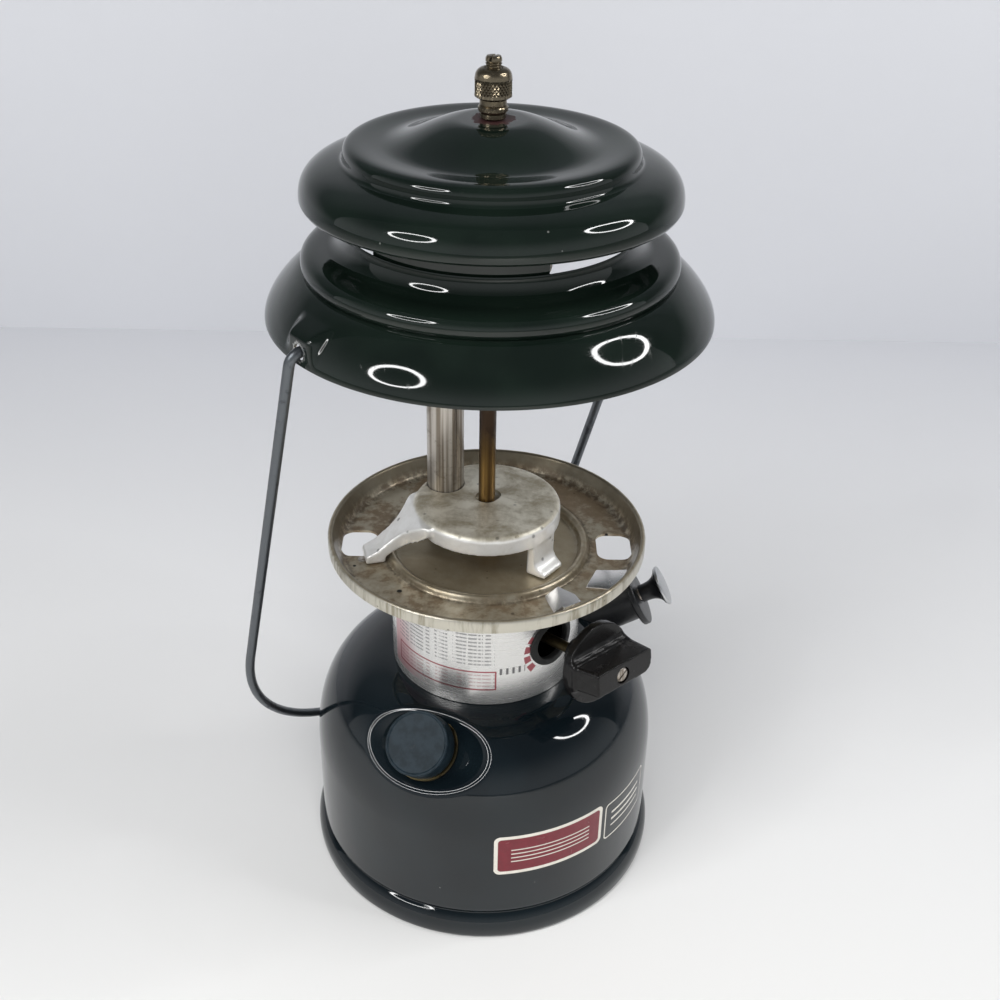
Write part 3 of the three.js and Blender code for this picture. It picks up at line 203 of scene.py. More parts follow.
BRIDGE_FEET = ((-75.0, 45.8, 131.9), (52.0, 26.25, 131.3), (170.0, 26.25, 131.3))
LEG_KNEE = 37.8
LONG_REACH = 45.0
SHORT_REACH = 30.0

# Tubes and burner
HEAT_LOW = 160.0
HEAT_HIGH = 184.0
AIR_TUBE = (-15.2, 10.6)
AIR_RADIUS = 6.6
AIR_BORE = 5.9
AIR_LOW = 120.5
TUBE_TOP = 247.8
GENERATOR = (-0.2, 1.0)
GENERATOR_RADIUS = 2.95
GENERATOR_BORE = 2.0
GENERATOR_LOW = 135.6
GENERATOR_TOP = 240.7
JAM_RADIUS = 6.6
JAM_LOW = 128.6
JAM_SEAM = 136.0
JAM_TOP = 141.6
BURNER = (13.0, -11.0)
MANIFOLD_LOW = 247.0
MANIFOLD_TOP = 262.0
MANIFOLD_RADIUS = 8.6
MANIFOLD_CUT = (240, 250)
SLEEVE_LOW = 243
BURNER_RADIUS = 4.6
BURNER_BORE = 3.9
BURNER_LOW = 236.9
MANIFOLD_GRAIN = 0.6
MANTLE_LOW = 198.7
MANTLE_TOP = 234.7
THREAD_RADIUS = 0.35

# Ventilator
SKIRT_SHEET = 0.9
EAR_AZIMUTH = -51.2
EAR_FACE = 72.0
EAR_WIDTH = 14.0
PIVOT_HEIGHT = 229.6
PIVOT_HOLE = 2.6
CAP_TOP = 286.5
CAP_HOLE = 2.9
NECK_DRAWN = 46.5
NECK_SILL = 254.5
STRAP_AZIMUTHS = (-14.0, 106.0, 226.0)
STRAP_DEGREES = 72.0
STRAP_RADIUS = 45.3
STRAP_SHEET = 0.8
STRAP_LOW = 250.5
STRAP_HIGH = 272.75
STRAP_FLANGE = 3.4
STUD_TOP = 305.0
STUD_RADIUS = 2.5
STUD_PITCH = 0.75
STUD_LOW = 260.7
THREAD_LOW = 285.9
STUD_SLOT_TURN = 1.15
NUT_BORE = 2.75
KNURL_RADIUS = 5.65
KNURL_LOW = 293.3
KNURL_STEP = 0.75
KNURL_ROWS = 7
KNURL_SIDES = 60
KNURL_DEPTH = 0.94

# Bail
WIRE_RADIUS = 1.76
BAIL_RADIUS = 74.8
BAIL_LIFT = -71.7
BAIL_HOOK = 65.9
BAIL_BEND = 4.0
BAIL_LEG = 150.4
END_SHARE = 0.72
END_EASE = 0.45


def heading(azimuth, lift):
    """Direction outwards, from 0 degrees at the front to 90 at the right."""
    around = math.radians(azimuth)
    up = math.radians(lift)
    return Vector((math.sin(around) * math.cos(up), -math.cos(around) * math.cos(up), math.sin(up)))


def stood_at(origin, along, level):
    """Place whose third axis runs along one direction and whose first is near another."""
    axis = Vector(along).normalized()
    side = Vector(level) - axis * axis.dot(Vector(level))
    side.normalize()
    up = axis.cross(side)
    place = Matrix((side, up, axis)).transposed().to_4x4()
    place.translation = Vector(origin)
    return place


def seat(origin, azimuth, lift):
    """Place of a piece that points outwards, with its first axis level."""
    return stood_at(origin, heading(azimuth, lift), heading(azimuth + 90, 0))


FILLER_SEAT = seat(FILLER_PLACE, FILLER_AZIMUTH, FILLER_LIFT)
PUMP_SEAT = seat(PUMP_PLACE, PUMP_AZIMUTH, PUMP_LIFT)
VALVE_SEAT = seat((0, 0, VALVE_HEIGHT), VALVE_AZIMUTH, VALVE_LIFT)


def bow(first, pull_first, pull_last, last, steps):
    """Points of one smooth bow between two ends."""
    points = []
    for step in range(steps + 1):
        part = step / steps
        rest = 1 - part
        shares = (rest ** 3, 3 * rest ** 2 * part, 3 * rest * part ** 2, part ** 3)
        ends = (first, pull_first, pull_last, last)
        points.append(tuple(sum(share * end[axis] for share, end in zip(shares, ends)) for axis in (0, 1)))
    return points


def rounded(points, radius, steps=4, closed=True):
    """An outline with its corners eased."""
    made = []
    count = len(points)
    radii = radius if isinstance(radius, tuple) else (radius,) * count
    for index, point in enumerate(points):
        if not closed and index in (0, count - 1):
            made.append(point)
            continue
        corner = Vector(point)
        back = Vector(points[index - 1]) - corner
        ahead = Vector(points[(index + 1) % count]) - corner
        reach = min(radii[index], back.length * 0.45, ahead.length * 0.45)
        start = corner + back.normalized() * reach
        end = corner + ahead.normalized() * reach
        made += bow(start, corner * 0.55 + start * 0.45, corner * 0.55 + end * 0.45, end, steps)
    return made


def pipe(radius, bore, low, high):
    """Outline of a tube's wall, with its corners eased."""
    return rounded([(bore, low), (radius, low), (radius, high), (bore, high)], 0.3, 2)


def sheet_of(points, wall):
    """An open outline made into sheet metal, with its wall on the left-hand side."""
    inside = []
    for index, (radius, height) in enumerate(points):
        before = points[max(index - 1, 0)]
        after = points[min(index + 1, len(points) - 1)]
        run = after[0] - before[0]
        rise = after[1] - before[1]
        length = math.hypot(run, rise)
        inside.append((max(radius - rise / length * wall, 0), height + run / length * wall))
    return points + inside[::-1]


def meshed(name, form):
    """The mesh of a form, which is let go."""
    mesh = bpy.data.meshes.new(name)
    form.to_mesh(mesh)
    form.free()
    return mesh


def placed(name, data):
    """A new object in the scene."""
    holder = bpy.data.objects.new(name, data)
    bpy.context.scene.collection.objects.link(holder)
    return holder


def turned(outline, sectors, start=0, closed=True):
    """Spins an outline of radius and height round the upright axis, in even steps or by sectors."""
    if isinstance(sectors, int):
        sectors = ((FULL_TURN, sectors),)
    form = bmesh.new()
    angle = math.radians(start - 90)
    points = [form.verts.new((r * math.cos(angle), r * math.sin(angle), z)) for r, z in outline]
    edges = [form.edges.new(pair) for pair in zip(points, points[1:])]
    if closed:
        edges.append(form.edges.new((points[-1], points[0])))
    moving = points + edges
    for degrees, steps in sectors:
        made = bmesh.ops.spin(form, geom=moving, cent=(0, 0, 0), axis=(0, 0, 1), angle=math.radians(degrees),
                              steps=steps, use_merge=degrees == FULL_TURN)
        moving = made["geom_last"]
    bmesh.ops.remove_doubles(form, verts=form.verts, dist=MERGE_GAP)
    bmesh.ops.recalc_face_normals(form, faces=form.faces)
    return form


def put(form, place):
    """Moves a form to its place."""
    bmesh.ops.transform(form, matrix=place, verts=form.verts)
    return form


def shifted(form, x, y, z=0):
    """Moves a form sideways or up."""
    return put(form, Matrix.Translation((x, y, z)))


def together(*forms):
    """Several forms in one mesh."""
    whole = bmesh.new()
    for form in forms:
        passing = meshed("passing", form)
        whole.from_mesh(passing)
        bpy.data.meshes.remove(passing)
    return whole


def disc(radius, low, high, sides=64, edge=0):
    """A short round bar, with its rims eased where an edge is given."""
    outline = [(0, low), (radius, low), (radius, high), (0, high)]
    if edge:
        outline = rounded(outline, edge, 3, False)
    return turned(outline, sides, closed=False)


def slab(outline, low, high, edge=0, segments=3):
    """A flat outline given its height."""
    form = bmesh.new()
    points = [form.verts.new((x, y, low)) for x, y in outline]
    face = form.faces.new(points)
    raised = bmesh.ops.extrude_face_region(form, geom=[face])
    tops = [item for item in raised["geom"] if isinstance(item, bmesh.types.BMVert)]
    bmesh.ops.translate(form, vec=(0, 0, high - low), verts=tops)
    bmesh.ops.recalc_face_normals(form, faces=form.faces)
    if edge:
        sharp = [item for item in form.edges if item.calc_face_angle(0) > math.radians(30)]
        bmesh.ops.bevel(form, geom=sharp, offset=edge, affect="EDGES", segments=segments, profile=0.5,
                        material=-1)
    return form


def box_outline(wide, deep):
    """Outline of a rectangle round the axis, given by its half sizes."""
    return [(-wide, -deep), (wide, -deep), (wide, deep), (-wide, deep)]


def stadium(start, end, radius, steps=20):
    """Outline of a long round-ended shape."""
    first = Vector(start)
    last = Vector(end)
    along = math.atan2(last.y - first.y, last.x - first.x)
    points = []
    for centre, turn in ((last, along - math.pi / 2), (first, along + math.pi / 2)):
        for step in range(steps + 1):
            angle = turn + math.pi * step / steps
            points.append((centre.x + radius * math.cos(angle), centre.y + radius * math.sin(angle)))
    return points


def hexagon(radius):
    """Outline of a six-sided nut."""
    angles = [math.radians(60 * side) for side in range(6)]
    return [(radius * math.cos(angle), radius * math.sin(angle)) for angle in angles]


def settled(form, *changes):
    """A form after modifiers, each given as its kind and its settings."""
    mesh = meshed("settling", form)
    holder = placed("settling", mesh)
    for kind, settings in changes:
        change = holder.modifiers.new("change", kind)
        for name, value in settings.items():
            setattr(change, name, value)
    bpy.context.view_layer.update()
    graph = bpy.context.evaluated_depsgraph_get()
    made = bpy.data.meshes.new_from_object(holder.evaluated_get(graph))
    result = bmesh.new()
    result.from_mesh(made)
    bpy.data.objects.remove(holder)
    bpy.data.meshes.remove(mesh)
    bpy.data.meshes.remove(made)
    return result


def melted(form, size, rounds):
    """Forms grown together into one skin, then smoothed."""
    return settled(form, ("REMESH", {"mode": "VOXEL", "voxel_size": size, "adaptivity": 0}),
                   ("SMOOTH", {"factor": 0.5, "iterations": rounds}))


def given_wall(form, wall):
    """An open face made into sheet metal, with the wall behind it."""
    return settled(form, ("SOLIDIFY", {"thickness": wall, "offset": -1}))


def cut_out(form, *tools):
    """Takes the tools' forms out of a form."""
    blocks = [placed("tool", meshed("tool", tool)) for tool in tools]
    cut = {"operation": "DIFFERENCE", "solver": "EXACT"}
    result = settled(form, *(("BOOLEAN", {**cut, "object": block}) for block in blocks))
    for block in blocks:
        bpy.data.objects.remove(block)
    return result


def nut(radius, bore, low, high):
    """A six-sided nut with its corners turned off at both ends."""
    ease = radius * 0.13
    ends = []
    for end, way in ((high, 1), (low, -1)):
        outline = [(radius - ease, end + way * 0.05), (radius + 1, end + way * 0.05)]
        outline.append((radius + 1, end - way * (ease + 1) * 0.58))
        ends.append(turned(outline, 48))
    return cut_out(slab(hexagon(radius), low, high), disc(bore, low - 1, high + 1, 40), *ends)


def slotted(radius, low, high, slot, deep, edge=0.5):
    """A round screw head with a straight slot in its top."""
    blade = slab(box_outline(radius + 1, slot / 2), high - deep, high + 1)
    return cut_out(disc(radius, low, high, 48, edge), blade)


def finished(name, form, finish, body, nodes=(), crease=35):
    """Turns a form in millimetres into a piece that rides on a body."""
    bmesh.ops.remove_doubles(form, verts=form.verts, dist=MERGE_GAP)
    bmesh.ops.recalc_face_normals(form, faces=form.faces)
    bmesh.ops.scale(form, vec=(METRES_PER_MM,) * 3, verts=form.verts)
    mesh = meshed(name, form)
    mesh.shade_smooth()
    mesh.set_sharp_from_angle(angle=math.radians(crease))
    mesh.materials.append(finish)
    piece = placed(name, mesh)
    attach(piece, body)
    if nodes:
        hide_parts(*nodes)
    return piece


def smooth_low(first, second, blend):
    """The lower of two heights, eased where they meet."""
    near = max(blend - abs(first - second), 0) / blend
    return min(first, second) - near * near * blend / 4


def smooth_high(value, blend):
    """A value held above zero with a soft start."""
    if value > blend:
        return value
    if value < -blend:
        return 0.0
    return (value + blend) ** 2 / (4 * blend)


def smooth_step(value, low, high):
    """Runs softly from 0 to 1 between two values."""
    part = min(max((value - low) / (high - low), 0), 1)
    return part * part * (3 - 2 * part)


# Colours and shader parts

def paint(red, green, blue):
    """A screen colour as the shader wants it."""
    parts = []
    for part in (red, green, blue):
        share = part / 255
        parts.append(share / 12.92 if share <= 0.04045 else ((share + 0.055) / 1.055) ** 2.4)
    return (*parts, 1)


def plug(tree, value, socket):
    """Sets a socket, or links it when the value is another socket."""
    if isinstance(value, bpy.types.NodeSocket):
        tree.links.new(value, socket)
    else:
        socket.default_value = value


def shader(tree, kind, sockets=None, **settings):
    """Adds one shader node with its settings."""
    made = tree.nodes.new(kind)
    for name, value in settings.items():
        setattr(made, name, value)
    for name, value in (sockets or {}).items():
        plug(tree, value, made.inputs[name])
    return made


def calc(tree, operation, first, second=0.5, third=None):
    """One sum in a shader."""
    made = tree.nodes.new("ShaderNodeMath")
    made.operation = operation
    plug(tree, first, made.inputs[0])
    plug(tree, second, made.inputs[1])
    if third is not None:
        plug(tree, third, made.inputs[2])
    return made.outputs[0]


def times(tree, first, second):
    """The product of two values."""
    return calc(tree, "MULTIPLY", first, second)


def plus(tree, first, second):
    """The sum of two values."""
    return calc(tree, "ADD", first, second)


def minus(tree, first, second):
    """One value less another."""
    return calc(tree, "SUBTRACT", first, second)


def most(tree, first, second):
    """The greater of two values."""
    return calc(tree, "MAXIMUM", first, second)


def scaled(tree, value, share, start):
    """A value times a share, on top of a start."""
    return calc(tree, "MULTIPLY_ADD", value, share, start)


def reach_of(tree, across, up):
    """Length of the way that runs across and up."""
    return calc(tree, "SQRT", plus(tree, calc(tree, "POWER", across, 2.0), calc(tree, "POWER", up, 2.0)))


def ranged(tree, value, low, high, to_low=0.0, to_high=1.0, soft=True):
    """A value carried from one range to another."""
    made = tree.nodes.new("ShaderNodeMapRange")
    made.interpolation_type = "SMOOTHSTEP" if soft else "LINEAR"
    for name, number in (("Value", value), ("From Min", low), ("From Max", high), ("To Min", to_low),
                         ("To Max", to_high)):
        plug(tree, number, made.inputs[name])
    return made.outputs[0]


def mixed(tree, mask, low, high):
    """A colour between two colours."""
    made = tree.nodes.new("ShaderNodeMix")
    made.data_type = "RGBA"
    plug(tree, mask, made.inputs[0])
    plug(tree, low, made.inputs[6])
    plug(tree, high, made.inputs[7])
    return made.outputs[2]


def tinted(tree, colour, mask, share, tone):
    """A colour with a share of another tone where the mask is."""
    return mixed(tree, times(tree, mask, share), colour, tone)


def clouds(tree, place, scale, detail=3.0, rough=0.5, twist=0.0):
    """Soft noise; its scale is in repeats for each metre."""
    made = shader(tree, "ShaderNodeTexNoise", {"Vector": place, "Scale": scale, "Detail": detail,
                                               "Roughness": rough, "Distortion": twist})
    return made.outputs[0]


def stretched(tree, place, scales):
    """Object coordinates squeezed unevenly."""
    made = shader(tree, "ShaderNodeMapping", {"Vector": place, "Scale": scales})
    return made.outputs[0]


def round_place(tree, place):
    """Degrees round from the front, and millimetres away from the upright axis and up."""
    split = shader(tree, "ShaderNodeSeparateXYZ", {"Vector": place})
    back = times(tree, split.outputs["Y"], -1.0)
    angle = calc(tree, "ARCTAN2", split.outputs["X"], back)
    away = reach_of(tree, split.outputs["X"], split.outputs["Y"])
    angle = times(tree, angle, 180 / math.pi)
    return angle, times(tree, away, MM_PER_METRE), times(tree, split.outputs["Z"], MM_PER_METRE)


def band(tree, value, low, high, soft):
    """1 between two values, falling softly to 0 outside them."""
    rise = ranged(tree, value, low - soft, low + soft)
    return times(tree, rise, ranged(tree, value, high + soft, high - soft))


def panel(tree, across, up, corners, corner, soft=0.12):
    """1 inside a round-cornered panel given by its left, right, low and high edges."""
    left, right, low, high = corners
    parts = []
    for value, first, last in ((across, left, right), (up, low, high)):
        off = calc(tree, "ABSOLUTE", minus(tree, value, (first + last) / 2))
        past = most(tree, minus(tree, off, (last - first) / 2 - corner), 0.0)
        parts.append(past)
    away = reach_of(tree, *parts)
    return ranged(tree, away, corner + soft, corner - soft)


def ruled(tree, value, pitch, share, soft=0.1):
    """Even stripes: 1 on each stripe."""
    part = calc(tree, "FRACT", calc(tree, "DIVIDE", value, pitch))
    off = calc(tree, "ABSOLUTE", minus(tree, part, 0.5))
    return ranged(tree, off, share / 2 + soft, share / 2 - soft)


def near_point(tree, place, x, y, radius):
    """1 in an upright round spot at a place in the plan."""
    split = shader(tree, "ShaderNodeSeparateXYZ", {"Vector": place})
    parts = []
    for name, middle in (("X", x), ("Y", y)):
        parts.append(minus(tree, split.outputs[name], middle * METRES_PER_MM))
    away = reach_of(tree, *parts)
    return ranged(tree, away, radius * 1.25 * METRES_PER_MM, radius * 0.75 * METRES_PER_MM)


def new_group(name, inputs, outputs):
    """An empty shader group with named sockets."""
    tree = bpy.data.node_groups.new(name, "ShaderNodeTree")
    for label, kind, value in inputs:
        socket = tree.interface.new_socket(name=label, in_out="INPUT", socket_type=kind)
        if value is not None:
            socket.default_value = value
    for label, kind in outputs:
        tree.interface.new_socket(name=label, in_out="OUTPUT", socket_type=kind)
    ends = (tree.nodes.new("NodeGroupInput"), tree.nodes.new("NodeGroupOutput"))
    return tree, ends[0].outputs, ends[1].inputs


VECTOR = "NodeSocketVector"
NUMBER = "NodeSocketFloat"


def grime_effect():
    """Uneven dirt in large and small patches."""
    tree, given, sent = new_group("grime", [("Place", VECTOR, None), ("Patch Scale", NUMBER, 60.0),
                                            ("Cover", NUMBER, 0.4)], [("Mask", NUMBER)])
    large = clouds(tree, given["Place"], given["Patch Scale"], 5.0, 0.62, 0.6)
    fine = clouds(tree, given["Place"], times(tree, given["Patch Scale"], 7.0), 4.0, 0.6)
    both = scaled(tree, fine, 0.35, times(tree, large, 0.65))
    start = minus(tree, 0.66, times(tree, given["Cover"], 0.3))
    plug(tree, ranged(tree, both, start, plus(tree, start, 0.14)), sent["Mask"])
    return tree


def speck_effect():
    """Small scattered specks of dust or pits."""
    takes = [("Place", VECTOR, None), ("Scale", NUMBER, 400.0), ("Size", NUMBER, 0.12),
             ("Share", NUMBER, 0.3)]
    tree, given, sent = new_group("specks", takes, [("Mask", NUMBER)])
    cells = shader(tree, "ShaderNodeTexVoronoi", {"Vector": given["Place"], "Scale": given["Scale"]})
    pick = shader(tree, "ShaderNodeSeparateColor", {"Color": cells.outputs["Color"]})
    chosen = calc(tree, "LESS_THAN", pick.outputs[0], given["Share"])
    size = times(tree, given["Size"], plus(tree, pick.outputs[1], 0.3))
    near = ranged(tree, cells.outputs["Distance"], size, times(tree, size, 0.5))
    plug(tree, times(tree, near, chosen), sent["Mask"])
    return tree


def scratch_effect():
    """Fine scratches that cross each other."""
    tree, given, sent = new_group("scratches", [("Place", VECTOR, None), ("Scale", NUMBER, 30.0),
                                                ("Width", NUMBER, 0.02)], [("Mask", NUMBER)])
    lines = []
    for turn, offset in ((0.3, 0.0), (-0.9, 3.1), (1.4, 7.7)):
        place = shader(tree, "ShaderNodeMapping", {"Vector": given["Place"],
                                                   "Rotation": (turn, turn * 0.7, turn),
                                                   "Location": (offset, offset, 0), "Scale": (1, 0.12, 1)})
        cloud = clouds(tree, place.outputs[0], given["Scale"], 2.0, 0.5, 0.4)
        off = calc(tree, "ABSOLUTE", minus(tree, cloud, 0.5))
        line = ranged(tree, off, given["Width"], 0.0)
        broken = clouds(tree, given["Place"], times(tree, given["Scale"], 2.3 + offset), 2.0, 0.5)
        lines.append(times(tree, line, ranged(tree, broken, 0.52, 0.66)))
    both = most(tree, lines[0], lines[1])
    plug(tree, most(tree, both, lines[2]), sent["Mask"])
    return tree


def cast_effect():
    """Skin of a sand casting: grains, dimples and a few pits."""
    tree, given, sent = new_group("casting skin", [("Place", VECTOR, None), ("Scale", NUMBER, 900.0)],
                                  [("Height", NUMBER), ("Pits", NUMBER)])
    grain = clouds(tree, given["Place"], given["Scale"], 4.0, 0.65)
    dimples = clouds(tree, given["Place"], times(tree, given["Scale"], 0.22), 3.0, 0.5)
    cells = shader(tree, "ShaderNodeTexVoronoi", {"Vector": given["Place"],
                                                  "Scale": times(tree, given["Scale"], 0.35)})
    pick = shader(tree, "ShaderNodeSeparateColor", {"Color": cells.outputs["Color"]})
    pit = times(tree, ranged(tree, cells.outputs["Distance"], 0.32, 0.1),
                calc(tree, "LESS_THAN", pick.outputs[0], 0.16))
    height = scaled(tree, dimples, 0.8, times(tree, grain, 0.4))
    plug(tree, minus(tree, height, times(tree, pit, 0.7)), sent["Height"])
    plug(tree, pit, sent["Pits"])
    return tree


def brushed_effect():
    """Streaks left by rolling and polishing, along the height or round the axis."""
    tree, given, sent = new_group("brushed", [("Place", VECTOR, None), ("Fine", NUMBER, 900.0),
                                              ("Long", NUMBER, 30.0)], [("Streaks", NUMBER)])
    split = shader(tree, "ShaderNodeSeparateXYZ", {"Vector": given["Place"]})
    across = times(tree, split.outputs["X"], given["Long"])
    deep = times(tree, split.outputs["Y"], given["Long"])
    high = times(tree, split.outputs["Z"], given["Fine"])
    joined = shader(tree, "ShaderNodeCombineXYZ", {"X": across, "Y": deep, "Z": high})
    plug(tree, clouds(tree, joined.outputs[0], 1.0, 4.0, 0.65), sent["Streaks"])
    return tree


GRIME = grime_effect()
SPECKS = speck_effect()
SCRATCHES = scratch_effect()
CASTING = cast_effect()
BRUSHED = brushed_effect()


def effect(tree, group, output, **sockets):
    """Places a shared effect in a material with its own values."""
    made = tree.nodes.new("ShaderNodeGroup")
    made.node_tree = group
    for name, value in sockets.items():
        plug(tree, value, made.inputs[name.replace("_", " ")])
    return made.outputs[output]


def blank_finish(name):
    """A new material, its node tree and the object's own coordinates."""
    material = bpy.data.materials.new(name)
    material.use_nodes = True
    tree = material.node_tree
    tree.nodes.clear()
    place = shader(tree, "ShaderNodeTexCoord").outputs["Object"]
    return material, tree, place


def surface(tree, sockets, height=None, strength=0.3, depth=0.0002):
    """The last shader of a material, with its bump where one is given."""
    body = tree.nodes.new("ShaderNodeBsdfPrincipled")
    for name, value in sockets.items():
        plug(tree, value, body.inputs[name])
    if height is not None:
        bump = shader(tree, "ShaderNodeBump", {"Height": height, "Strength": strength, "Distance": depth})
        tree.links.new(bump.outputs[0], body.inputs["Normal"])
    end = tree.nodes.new("ShaderNodeOutputMaterial")
    tree.links.new(body.outputs[0], end.inputs["Surface"])
    return body


def enamel_finish(name, dark, light, marks=None):
    """Glossy stoved enamel with faint flow, dust and hair scratches, and its marks where given."""
    material, tree, place = blank_finish(name)
    flow = clouds(tree, place, 45.0, 2.0, 0.4)
    colour = mixed(tree, ranged(tree, flow, 0.35, 0.65), dark, light)
    specks = effect(tree, SPECKS, "Mask", Place=place, Scale=260.0, Size=0.1, Share=0.05)
    hairs = effect(tree, SCRATCHES, "Mask", Place=place, Scale=34.0, Width=0.008)
    smear = effect(tree, GRIME, "Mask", Place=place, Patch_Scale=32.0, Cover=0.5)
    rough = scaled(tree, smear, 0.03, 0.05)
    rough = plus(tree, rough, times(tree, hairs, 0.12))
    metal = 0.0
    if marks:
        colour, rough, metal = marks(tree, place, colour, rough)
    colour = tinted(tree, colour, specks, 0.5, paint(120, 122, 118))
    rough = plus(tree, rough, times(tree, specks, 0.3))
    peel = clouds(tree, place, 320.0, 1.0, 0.4)
    surface(tree, {"Base Color": colour, "Roughness": rough, "Metallic": metal, "Specular IOR Level": 0.5},
            peel, 0.02, 0.0003)
    return material


def label_marks(tree, place, colour, rough):
    """Plain bordered label on the tank's wall, and a plain ruled frame beside it."""
    angle, _, height = round_place(tree, place)
    across = times(tree, angle, math.pi / 180 * TANK_RADIUS)
    border = panel(tree, across, height, LABEL_EDGES, 2.4)
    field = panel(tree, across, height, LABEL_FIELD, 1.5)
    wear = clouds(tree, place, 420.0, 3.0, 0.6)
    red = mixed(tree, wear, paint(118, 26, 40), paint(92, 18, 30))
    cream = mixed(tree, wear, paint(226, 222, 212), paint(200, 194, 182))
    stripes = ruled(tree, minus(tree, height, LABEL_FIELD[2]), 1.9, 0.24)
    stripes = times(tree, stripes, panel(tree, across, height, LABEL_STRIPES, 0.2))
    inside = mixed(tree, stripes, red, cream)
    printed = mixed(tree, field, cream, inside)
    colour = mixed(tree, border, colour, printed)
    frame_line = minus(tree, panel(tree, across, height, SIDE_FRAME, 2.0),
                       panel(tree, across, height, SIDE_FIELD, 1.4))
    bars = times(tree, ruled(tree, height, 3.4, 0.3, 0.04), panel(tree, across, height, SIDE_BARS, 0.2))
    lines = most(tree, most(tree, frame_line, 0.0), bars)
    colour = mixed(tree, lines, colour, cream)
    both = most(tree, border, lines)
    return colour, plus(tree, rough, times(tree, both, 0.14)), 0.0


def worn_hole(tree, place, colour, rough):
    """Chipped and rusty edge of the cap's middle hole."""
    _, away, _ = round_place(tree, place)
    ragged = times(tree, clouds(tree, place, 420.0, 3.0, 0.6), 5.5)
    edge = ranged(tree, plus(tree, away, ragged), 9.9, 9.2)
    rust = mixed(tree, clouds(tree, place, 900.0, 3.0, 0.6), paint(66, 34, 34), paint(22, 16, 16))
    return mixed(tree, edge, colour, rust), scaled(tree, edge, 0.5, rough), 0.0


def worn_ears(tree, place, colour, rough):
    """Bare steel where the bail has rubbed round its two holes."""
    side = heading(EAR_AZIMUTH + 90, 0)
    split = shader(tree, "ShaderNodeSeparateXYZ", {"Vector": place})
    along = scaled(tree, split.outputs["Y"], side.y, times(tree, split.outputs["X"], side.x))
    above = minus(tree, split.outputs["Z"], PIVOT_HEIGHT * METRES_PER_MM)
    away = reach_of(tree, along, above)
    ragged = times(tree, clouds(tree, place, 700.0, 3.0, 0.6), 0.0022)
    edge = ranged(tree, plus(tree, away, ragged), 0.0046, 0.0041)
    steel = mixed(tree, clouds(tree, place, 900.0, 3.0, 0.6), paint(206, 208, 206), paint(130, 128, 122))
    return mixed(tree, edge, colour, steel), scaled(tree, edge, 0.25, rough), edge


def plain_metal(name, clean, stained, rough=0.32, cover=0.4, patch=60.0, metal=0.95, bump=0.15):
    """Bare metal with stains and fine marks."""
    material, tree, place = blank_finish(name)
    stain = effect(tree, GRIME, "Mask", Place=place, Patch_Scale=patch, Cover=cover)
    marks = effect(tree, SCRATCHES, "Mask", Place=place, Scale=60.0, Width=0.02)
    colour = mixed(tree, stain, clean, stained)
    roughness = scaled(tree, stain, 0.22, rough)
    roughness = plus(tree, roughness, times(tree, marks, 0.15))
    grain = clouds(tree, place, 1500.0, 3.0, 0.6)
    surface(tree, {"Base Color": colour, "Roughness": roughness, "Metallic": metal}, grain, bump, 0.0001)
    return material


def collar_finish():
    """Bright collar sheet with plain printed rules, a red frame and a scale of growing blocks."""
    material, tree, place = blank_finish("collar steel")
    angle, away, height = round_place(tree, place)
    streaks = effect(tree, BRUSHED, "Streaks", Place=place, Fine=700.0, Long=24.0)
    stain = effect(tree, GRIME, "Mask", Place=place, Patch_Scale=38.0, Cover=0.15)
    colour = mixed(tree, stain, paint(222, 221, 219), paint(196, 193, 187))
    outside = ranged(tree, away, COLLAR_RADIUS - 0.5, COLLAR_RADIUS - 0.2)
    across = times(tree, angle, math.pi / 180 * COLLAR_RADIUS)
    low_part = ranged(tree, plus(tree, angle, times(tree, height, 0.6)), 22.0, -2.0)
    pink = times(tree, low_part, panel(tree, across, height, PRINT_BLOCK, 1.0, 0.6))
    colour = tinted(tree, colour, pink, 0.5, paint(196, 96, 112))
    letters = clouds(tree, stretched(tree, place, (1.0, 1.0, 0.02)), 900.0, 1.0, 0.5)
    dashes = times(tree, ruled(tree, height, 1.62, 0.42), ranged(tree, letters, 0.4, 0.5))
    rules = times(tree, dashes, panel(tree, across, height, PRINT_RULES, 0.3))
    colour = tinted(tree, colour, rules, 0.62, paint(62, 60, 66))
    line = minus(tree, panel(tree, across, height, PRINT_FRAME, 0.3),
                 panel(tree, across, height, PRINT_FIELD, 0.2))
    colour = mixed(tree, times(tree, most(tree, line, 0.0), 0.9), colour, paint(150, 42, 58))
    field = panel(tree, across, height, PRINT_FIELD, 0.2)
    colour = mixed(tree, times(tree, times(tree, field, dashes), 0.4), colour, paint(150, 60, 74))
    left = minus(tree, SCALE_CENTRE[0], across)
    up = minus(tree, height, SCALE_CENTRE[1])
    turn = times(tree, calc(tree, "ARCTAN2", up, left), 180 / math.pi)
    reach = reach_of(tree, left, up)
    grown = scaled(tree, turn, -0.012, 12.0)
    blocks = times(tree, ruled(tree, plus(tree, turn, 3.0), 22.0, 0.7, 0.03),
                   times(tree, ranged(tree, reach, 9.5, 9.8),
                         ranged(tree, minus(tree, reach, grown), 0.15, -0.15)))
    blocks = times(tree, blocks, times(tree, band(tree, turn, -46.0, 42.0, 1.0), outside))
    colour = tinted(tree, colour, blocks, 0.9, paint(142, 24, 44))
    ticks = times(tree, ruled(tree, across, 2.3, 0.4), panel(tree, across, height, SCALE_TICKS, 0.1))
    colour = tinted(tree, colour, ticks, 0.85, paint(34, 34, 38))
    ink = most(tree, most(tree, rules, blocks), ticks)
    rough = scaled(tree, streaks, 0.12, 0.2)
    rough = plus(tree, rough, times(tree, most(tree, ink, pink), 0.12))
    metal = minus(tree, 0.84, times(tree, ink, 0.6))
    surface(tree, {"Base Color": colour, "Roughness": rough, "Metallic": metal}, streaks, 0.03, 0.0001)
    return material


